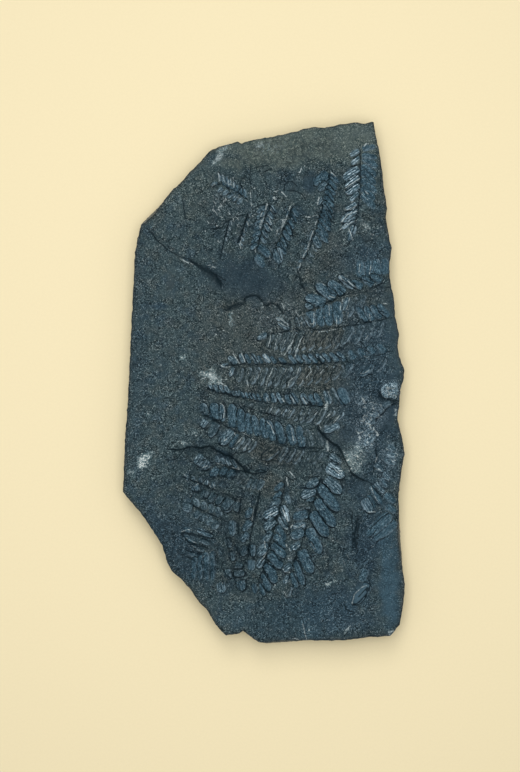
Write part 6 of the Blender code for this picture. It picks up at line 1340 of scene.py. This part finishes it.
def face_points(rim, pinnules):
    """Where the upper face has its corners: along what shapes it, and evenly in between."""
    scatter = Scatter()
    for points in ragged_stems():
        scatter.add(points)
    for line in BOLD_CREASES + FINE_CREASES + BOLD_GLEAMS + FINE_GLEAMS + glitter_strokes():
        scatter.add(walk(line_points(line), CREASE_STEP), LINE_CLEARANCE)
    scatter.add(line_points(SPOTS), LINE_CLEARANCE)
    for points, _, _ in ragged_breaks():
        middle = [np.array(point) for point in points]
        scatter.add(middle, LINE_CLEARANCE)
        for start, end in zip(middle[:-1], middle[1:]):
            side = np.array((start[1] - end[1], end[0] - start[0])) / math.dist(start, end)
            scatter.add([(start + end) / 2.0 + side * shift for shift in BREAK_SHIFTS])
    pinnule_points(scatter, pinnules)
    generator = np.random.RandomState(FACE_POINTS_SEED)
    fine = jittered_rows(FERN_STEP, generator)
    near_fern = np.zeros(len(fine), dtype=bool)
    for oval in FERN_AREAS:
        near_fern |= patch_reach(fine[:, 0], fine[:, 1], *oval) < 1.0
    scatter.add(fine[near_fern], FERN_CLEARANCE)
    scatter.add(jittered_rows(OPEN_STEP, generator), OPEN_CLEARANCE)
    places = np.array(scatter.places)
    kept = inside_outline(places[:, 0], places[:, 1], rim.upper)
    kept &= rim_distance(places[:, 0], places[:, 1], rim.upper) > RIM_CLEARANCE
    return places[kept]


def side_faces(upper, lower):
    """The band of triangles between two rings of vertices."""
    faces = []
    for k, start in enumerate(upper):
        following = (k + 1) % len(upper)
        faces.append((start, upper[following], lower[following]))
        faces.append((start, lower[following], lower[k]))
    return faces


def triangulated(points, edges):
    """Joins points up in triangles inside the edges: the corners, and the triangles."""
    places = [Vector(point) for point in points]
    corners, _, triangles, *_ = delaunay_2d_cdt(places, edges, [], INSIDE_EDGES, MERGE_DISTANCE)
    return np.array([tuple(corner) for corner in corners]), triangles


def underside(foot, edges, waves):
    """The face that the slab lies on: its vertices within the foot's rim, and its triangles."""
    count = len(foot)
    inner = drawn_in(foot, np.full(count, UNDERSIDE_MARGIN))
    spread = jittered_rows(UNDERSIDE_STEP, np.random.RandomState(UNDERSIDE_SEED))
    kept = inside_outline(spread[:, 0], spread[:, 1], inner)
    corners, triangles = triangulated(np.vstack((foot, spread[kept])), edges)
    x, y = corners[count:, 0], corners[count:, 1]
    hollow = 0.7 * np.maximum(0.0, waves(x, y, 24.0) + 0.1)
    hollow += 0.25 * np.maximum(0.0, waves(x, y, 7.0))
    return np.column_stack((x, y, hollow)), triangles


def slab_shape():
    """Vertices, faces and material values of the whole slab."""
    pinnules = make_pinnules()
    rim = Rim()
    count = len(rim.upper)
    edges = [(k, (k + 1) % count) for k in range(count)]
    flat, triangles = triangulated(np.vstack((rim.upper, face_points(rim, pinnules))), edges)
    x, y = flat[:, 0], flat[:, 1]
    face = Face(x, y, pinnules)
    rim_gap = rim_distance(x, y, rim.upper)
    reach = EDGE_ROLL_REACH * (1.0 + 0.4 * face.waves(x, y, 6.0))
    height = face.height - EDGE_ROLL * (1.0 - smooth(rim_gap / reach)) ** 2
    height = np.minimum(height, cad_box[1].z / METRES)
    # Painted shade along the rim, and a warm tone there
    face.strengthen("shade", 0.6 * bell(rim_gap, 0.6))
    face.strengthen("warm", bell(rim_gap, 1.0))
    vertices = [np.column_stack((flat, height))]
    faces = [tuple(triangle) for triangle in triangles]
    total = len(flat)

    upper = list(range(count))
    for share in SIDE_SHARES:
        ring, wave = rim.layer(share)
        lower = list(range(total, total + count))
        vertices.append(np.column_stack((ring, height[:count] * share + wave)))
        faces += side_faces(upper, lower)
        total += count
        upper = lower

    under, triangles = underside(vertices[-1][:, :2], edges, face.waves)
    vertices.append(under)
    ids = np.concatenate((np.array(upper), np.arange(total, total + len(under))))
    faces += [tuple(int(ids[corner]) for corner in reversed(triangle)) for triangle in triangles]

    vertices = np.vstack(vertices)
    values = {name: np.zeros(len(vertices)) for name in FACE_VALUES + SIDE_VALUES}
    for name, amounts in face.values.items():
        values[name][:len(flat)] = amounts
    values["broken"][len(flat):total] = 1.0
    values["broken"][len(flat):len(flat) + 2 * count] = 0.5
    return vertices, faces, values


def add_object(name, data):
    """A new object in the scene with the mesh, lamp or lens that it holds."""
    thing = bpy.data.objects.new(name, data)
    bpy.context.scene.collection.objects.link(thing)
    return thing


def build_slab():
    """The slab as one object with its named attributes."""
    vertices, faces, values = slab_shape()
    vertices = vertices * np.array((DRAWN_UNIT, DRAWN_UNIT, METRES))
    mesh = bpy.data.meshes.new("slate_slab")
    mesh.from_pydata(vertices.tolist(), [], faces)
    for name, amounts in values.items():
        attribute = mesh.attributes.new(name, "FLOAT", "POINT")
        attribute.data.foreach_set("value", amounts.astype(np.float32))
    shell = bmesh.new()
    shell.from_mesh(mesh)
    bmesh.ops.recalc_face_normals(shell, faces=shell.faces)
    shell.to_mesh(mesh)
    shell.free()
    mesh.shade_smooth()
    mesh.set_sharp_from_angle(angle=math.radians(SHARP_ANGLE))
    mesh.materials.append(slate_material())
    return add_object("slate_slab", mesh)


class Graph:
    """Short ways to add shader nodes to a material and join them up."""

    def __init__(self, name):
        self.material = bpy.data.materials.new(name)
        self.material.use_nodes = True
        self.tree = self.material.node_tree
        self.shader = self.tree.nodes["Principled BSDF"]
        self.place = self.add("TexCoord", {}, "Object")

    def put(self, node, socket, value):
        """Joins an input to another node's output, or sets it to a value."""
        if isinstance(value, bpy.types.NodeSocket):
            self.tree.links.new(value, node.inputs[socket])
        elif value is not None:
            node.inputs[socket].default_value = value

    def add(self, kind, inputs, output, **settings):
        """Adds a node with these inputs and settings, and gives one of its outputs."""
        node = self.tree.nodes.new("ShaderNode" + kind)
        for name, setting in settings.items():
            setattr(node, name, setting)
        for socket, value in inputs.items():
            self.put(node, socket, value)
        return node.outputs[output]

    def attribute(self, name):
        """A value that is stored on the mesh."""
        return self.add("Attribute", {}, "Fac", attribute_name=name)

    def math(self, operation, first, second=None, clamp=False):
        """A sum of one or two numbers."""
        inputs = {0: first, 1: second}
        return self.add("Math", inputs, "Value", operation=operation, use_clamp=clamp)

    def times(self, first, second, clamp=False):
        """One number times another."""
        return self.math("MULTIPLY", first, second, clamp)

    def fit(self, value, low, high, new_low=0.0, new_high=1.0):
        """Goes smoothly from the new low to the new high as the value goes from low to high."""
        inputs = dict(enumerate((value, low, high, new_low, new_high)))
        return self.add("MapRange", inputs, "Result", interpolation_type="SMOOTHSTEP")

    def between(self, factor, first, second):
        """A number between two others: the first at a factor of 0, the second at 1."""
        return self.add("Mix", {0: factor, 2: first, 3: second}, 0)

    def mix(self, factor, first, second, blend="MIX"):
        """A colour between two others: the first at a factor of 0, the second at 1."""
        inputs = {0: factor}
        for socket, colour in ((6, first), (7, second)):
            inputs[socket] = (*colour, 1.0) if isinstance(colour, tuple) else colour
        return self.add("Mix", inputs, 2, data_type="RGBA", blend_type=blend)

    def combined(self, x, y, z=0.0):
        """A vector, or a colour, of three numbers."""
        return self.add("CombineXYZ", {0: x, 1: y, 2: z}, "Vector")

    def scaled(self, scale, vector=None):
        """The place on the object, or another vector, times a number or each part by its own."""
        inputs = {
            0: self.place if vector is None else vector,
            1: scale if isinstance(scale, tuple) else (scale,) * 3,
        }
        return self.add("VectorMath", inputs, "Vector", operation="MULTIPLY")

    def noise(self, scale, detail=2.0, roughness=0.5, vector=None):
        """Cloudy noise, from 0 to 1, over the object or over another vector."""
        inputs = {
            "Vector": self.scaled(scale, vector),
            "Scale": 1.0,
            "Detail": detail,
            "Roughness": roughness,
        }
        return self.add("TexNoise", inputs, "Fac")

    def crumbs(self, scale, vector=None):
        """One random value from 0 to 1 for each small cell of the object or another vector."""
        inputs = {"Vector": self.scaled(scale, vector), "Scale": 1.0}
        return self.add("SeparateColor", {0: self.add("TexVoronoi", inputs, "Color")}, 0)

    def bump(self, height, distance, normal=None):
        """A normal bent as if the surface had this height."""
        inputs = {"Height": height, "Distance": distance, "Normal": normal}
        return self.add("Bump", inputs, "Normal")


def rock_colour(graph, tint, cloud):
    """The plain rock in its areas of colour."""
    flush = graph.noise(FLUSH_SCALE)
    colour = graph.mix(graph.fit(cloud, 0.48, 0.66, 0.0, 0.5), ROCK, INK)
    colour = graph.mix(graph.fit(flush, 0.48, 0.66, 0.0, 0.3), colour, WARM)
    for name, area_colour in (("warm", WARM), ("olive", OLIVE), ("ink", INK), ("blue", LEAF)):
        colour = graph.mix(tint[name], colour, area_colour)
    return colour


def silver_film(graph, tint, lengthways):
    """How silvery the film is, painted sheen included: in strokes along a pinnule, and on the crests of
    its ribs, where it is a painted highlight.
    """
    strokes = graph.noise(STROKE_SCALE, 2.0, 0.6, lengthways)
    crests = graph.math("COSINE", graph.times(tint["across"], math.tau / RIB_STEP))
    crests = graph.between(tint["rib"], 1.0, graph.fit(crests, -0.5, 0.6, 1.25, 0.05))
    silver = graph.times(tint["film"], graph.fit(strokes, 0.38, 0.60, 0.35, 1.30))
    return graph.times(silver, crests, clamp=True)


def bit_contrast(graph, tint, bits, grain, bare):
    """What the colour is multiplied by, so that the bits of the rock differ in brightness."""
    contrast = graph.times(graph.math("POWER", bits, BIT_POWER), BIT_GAIN * GRAIN_CONTRAST)
    contrast = graph.math("ADD", contrast, 1.0 - GRAIN_CONTRAST)
    contrast = graph.times(contrast, graph.fit(grain, 0.36, 0.64, 0.65, 1.35))
    unrest = graph.fit(graph.noise(UNREST_SCALE), 0.38, 0.62, 0.50, 1.00)
    unrest = graph.between(tint["leaf"], unrest, LEAF_UNREST)
    unrest = graph.between(tint["broken"], unrest, SIDE_UNREST)
    unrest = graph.times(unrest, bare)
    contrast = graph.times(graph.math("SUBTRACT", contrast, 1.0), unrest)
    contrast = graph.math("MAXIMUM", graph.math("ADD", contrast, 1.0), 0.04)
    red = graph.math("POWER", contrast, 1.15)
    red = graph.times(red, graph.fit(contrast, 0.0, 0.9, 0.70, 1.0))
    blue = graph.math("POWER", contrast, 0.92)
    return graph.combined(red, contrast, blue)


def slate_material():
    """Dark slate: speckled rock, silvery film with painted sheen on the pinnules, and near-black painted
    shade in grooves.
    """
    graph = Graph("slate")
    tint = {name: graph.attribute(name) for name in FACE_VALUES + SIDE_VALUES}
    grain = graph.noise(GRAIN_SCALE, 1.0, 0.6)
    dust = graph.noise(DUST_SCALE, 1.0)
    cloud = graph.noise(CLOUD_SCALE, 3.0, 0.55)
    crumbs = graph.crumbs(CRUMB_SCALE)
    dots = graph.crumbs(DOT_SCALE)
    bare = graph.math("SUBTRACT", 1.0, tint["smooth"])

    # Streaks about as wide as a crumb run lengthways on the pinnules
    lengthways = graph.combined(tint["along"], tint["across"])
    threads = graph.crumbs(THREAD_SCALE, lengthways)
    bits = graph.between(graph.times(tint["rib"], 0.8), crumbs, threads)

    colour = rock_colour(graph, tint, cloud)
    silver = silver_film(graph, tint, lengthways)
    colour = graph.mix(silver, colour, FILM_SHEEN)
    glint = graph.times(tint["glitter"], graph.fit(dust, 0.50, 0.62, 0.0, 1.0))
    colour = graph.mix(graph.times(glint, 0.8), colour, FILM_SHEEN)
    pit = graph.times(tint["glitter"], graph.fit(dust, 0.38, 0.48, 0.6, 0.0))
    colour = graph.mix(pit, colour, DARK)
    scuff = graph.math(
        "SUBTRACT", graph.times(tint["pale"], 1.2), graph.between(0.5, crumbs, dots))
    colour = graph.mix(graph.fit(scuff, -0.10, 0.22, 0.0, 0.85), colour, PALE)

    # The beds of rock that show in the broken sides
    layers = graph.noise(LAYER_SCALE, 3.0, 0.6)
    bedding = graph.mix(graph.fit(layers, 0.40, 0.62), BROKEN_DARK, BROKEN)
    colour = graph.mix(tint["broken"], colour, bedding)

    # Bits of every brightness, and the brightest and the darkest few
    contrast = bit_contrast(graph, tint, bits, grain, bare)
    colour = graph.mix(1.0, colour, contrast, "MULTIPLY")
    bright_bits = graph.times(bare, graph.fit(crumbs, 0.955, 0.985, 0.0, 0.25))
    colour = graph.mix(bright_bits, colour, GLEAM)
    dark_bits = graph.times(bare, graph.fit(dots, 0.01, 0.05, 0.28, 0.0))
    colour = graph.mix(dark_bits, colour, DARK)

    # Film and a painted highlight along the raised edge of a pinnule, and bright strokes
    edge = graph.times(tint["edge"], graph.fit(bits, 0.1, 0.6, 0.40, 1.0))
    colour = graph.mix(edge, colour, FILM_SHEEN)
    gleam = graph.fit(tint["gleam"], 0.55, 0.85, 0.0, 1.0)
    gleam = graph.times(gleam, graph.fit(crumbs, 0.1, 0.7, 0.20, 1.0))
    colour = graph.mix(gleam, colour, GLEAM)

    # Painted shade: dark wrinkles, hollows and lines
    wrinkles = graph.noise(WRINKLE_SCALE, 2.0, 0.6)
    wrinkle = graph.math("ABSOLUTE", graph.math("SUBTRACT", wrinkles, 0.5))
    wrinkle = graph.fit(wrinkle, 0.0, 0.07, 1.0, 0.0)
    wrinkle = graph.times(wrinkle, graph.times(tint["rough"], graph.fit(cloud, 0.4, 0.6)))
    shade = graph.math("MAXIMUM", tint["shade"], graph.times(wrinkle, 0.40))
    shade = graph.math("MAXIMUM", shade, graph.fit(tint["line"], 0.55, 0.85, 0.0, 0.88))
    colour = graph.mix(shade, colour, DARK)
    graph.put(graph.shader, "Base Color", colour)

    roughness = graph.fit(grain, 0.3, 0.7, 0.62, 0.46)
    roughness = graph.math("SUBTRACT", roughness, graph.times(silver, 0.12))
    graph.put(graph.shader, "Roughness", roughness)
    graph.put(graph.shader, "Specular IOR Level", SLATE_SPECULAR)

    # Veins slant from the midrib of a pinnule to its edges
    veins = graph.times(graph.math("ABSOLUTE", tint["across"]), VEIN_SLANT)
    veins = graph.times(graph.math("ADD", tint["along"], veins), VEIN_PACE)
    veins = graph.times(graph.math("SINE", veins), tint["leaf"])
    normal = None
    for height, distance in (
            (grain, 0.00022), (dust, 0.00014), (wrinkle, -0.00020), (veins, 0.00002)):
        normal = graph.bump(height, distance, normal)
    graph.put(graph.shader, "Normal", normal)
    return graph.material


def floor_material():
    """Matt cream card."""
    graph = Graph("cream_card")
    shades = graph.fit(graph.noise(FIBRE_SCALE, 3.0), 0.3, 0.7, 0.985, 1.0)
    fibres = graph.combined(shades, shades, shades)
    graph.put(graph.shader, "Base Color", graph.mix(1.0, FLOOR_COLOUR, fibres, "MULTIPLY"))
    graph.put(graph.shader, "Roughness", 0.9)
    graph.put(graph.shader, "Specular IOR Level", FLOOR_SPECULAR)
    return graph.material


def build_floor():
    """The plain pale surface that the slab lies on."""
    half = FLOOR_SIZE / 2.0
    corners = [(-half, -half, 0.0), (half, -half, 0.0), (half, half, 0.0), (-half, half, 0.0)]
    mesh = bpy.data.meshes.new("floor")
    mesh.from_pydata(corners, [], [(0, 1, 2, 3)])
    mesh.materials.append(floor_material())
    return add_object("floor", mesh)


def add_area_light(name, place, size, power, colour):
    """A square lamp aimed at the slab."""
    lamp = bpy.data.lights.new(name, "AREA")
    lamp.shape = "SQUARE"
    lamp.size = size
    lamp.energy = power
    lamp.color = colour
    holder = add_object(name, lamp)
    holder.location = place
    holder.rotation_euler = (-Vector(place)).to_track_quat("-Z", "Y").to_euler()


def light_scene():
    """Soft light from all round, stronger from beyond the slab's upper end."""
    world = bpy.data.worlds.new("studio")
    world.use_nodes = True
    backdrop = world.node_tree.nodes["Background"]
    backdrop.inputs["Color"].default_value = (*SKY, 1.0)
    backdrop.inputs["Strength"].default_value = SKY_STRENGTH
    bpy.context.scene.world = world
    for lamp in LAMPS:
        add_area_light(*lamp)
    bpy.context.scene.view_settings.view_transform = "Standard"


def add_camera():
    """Straight above the slab, framed as the photograph."""
    lens = bpy.data.cameras.new("camera")
    lens.sensor_width = SENSOR
    lens.lens = SENSOR * CAMERA_HEIGHT / (IMAGE_HEIGHT * DRAWN_UNIT)
    camera = add_object("camera", lens)
    x, y = IMAGE_MIDDLE
    camera.location = (x * DRAWN_UNIT, y * DRAWN_UNIT, FACE_LEVEL * METRES + CAMERA_HEIGHT)
    bpy.context.scene.camera = camera


slab = build_slab()
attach(slab, "root")
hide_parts("fossil_slab")
build_floor()
light_scene()
add_camera()
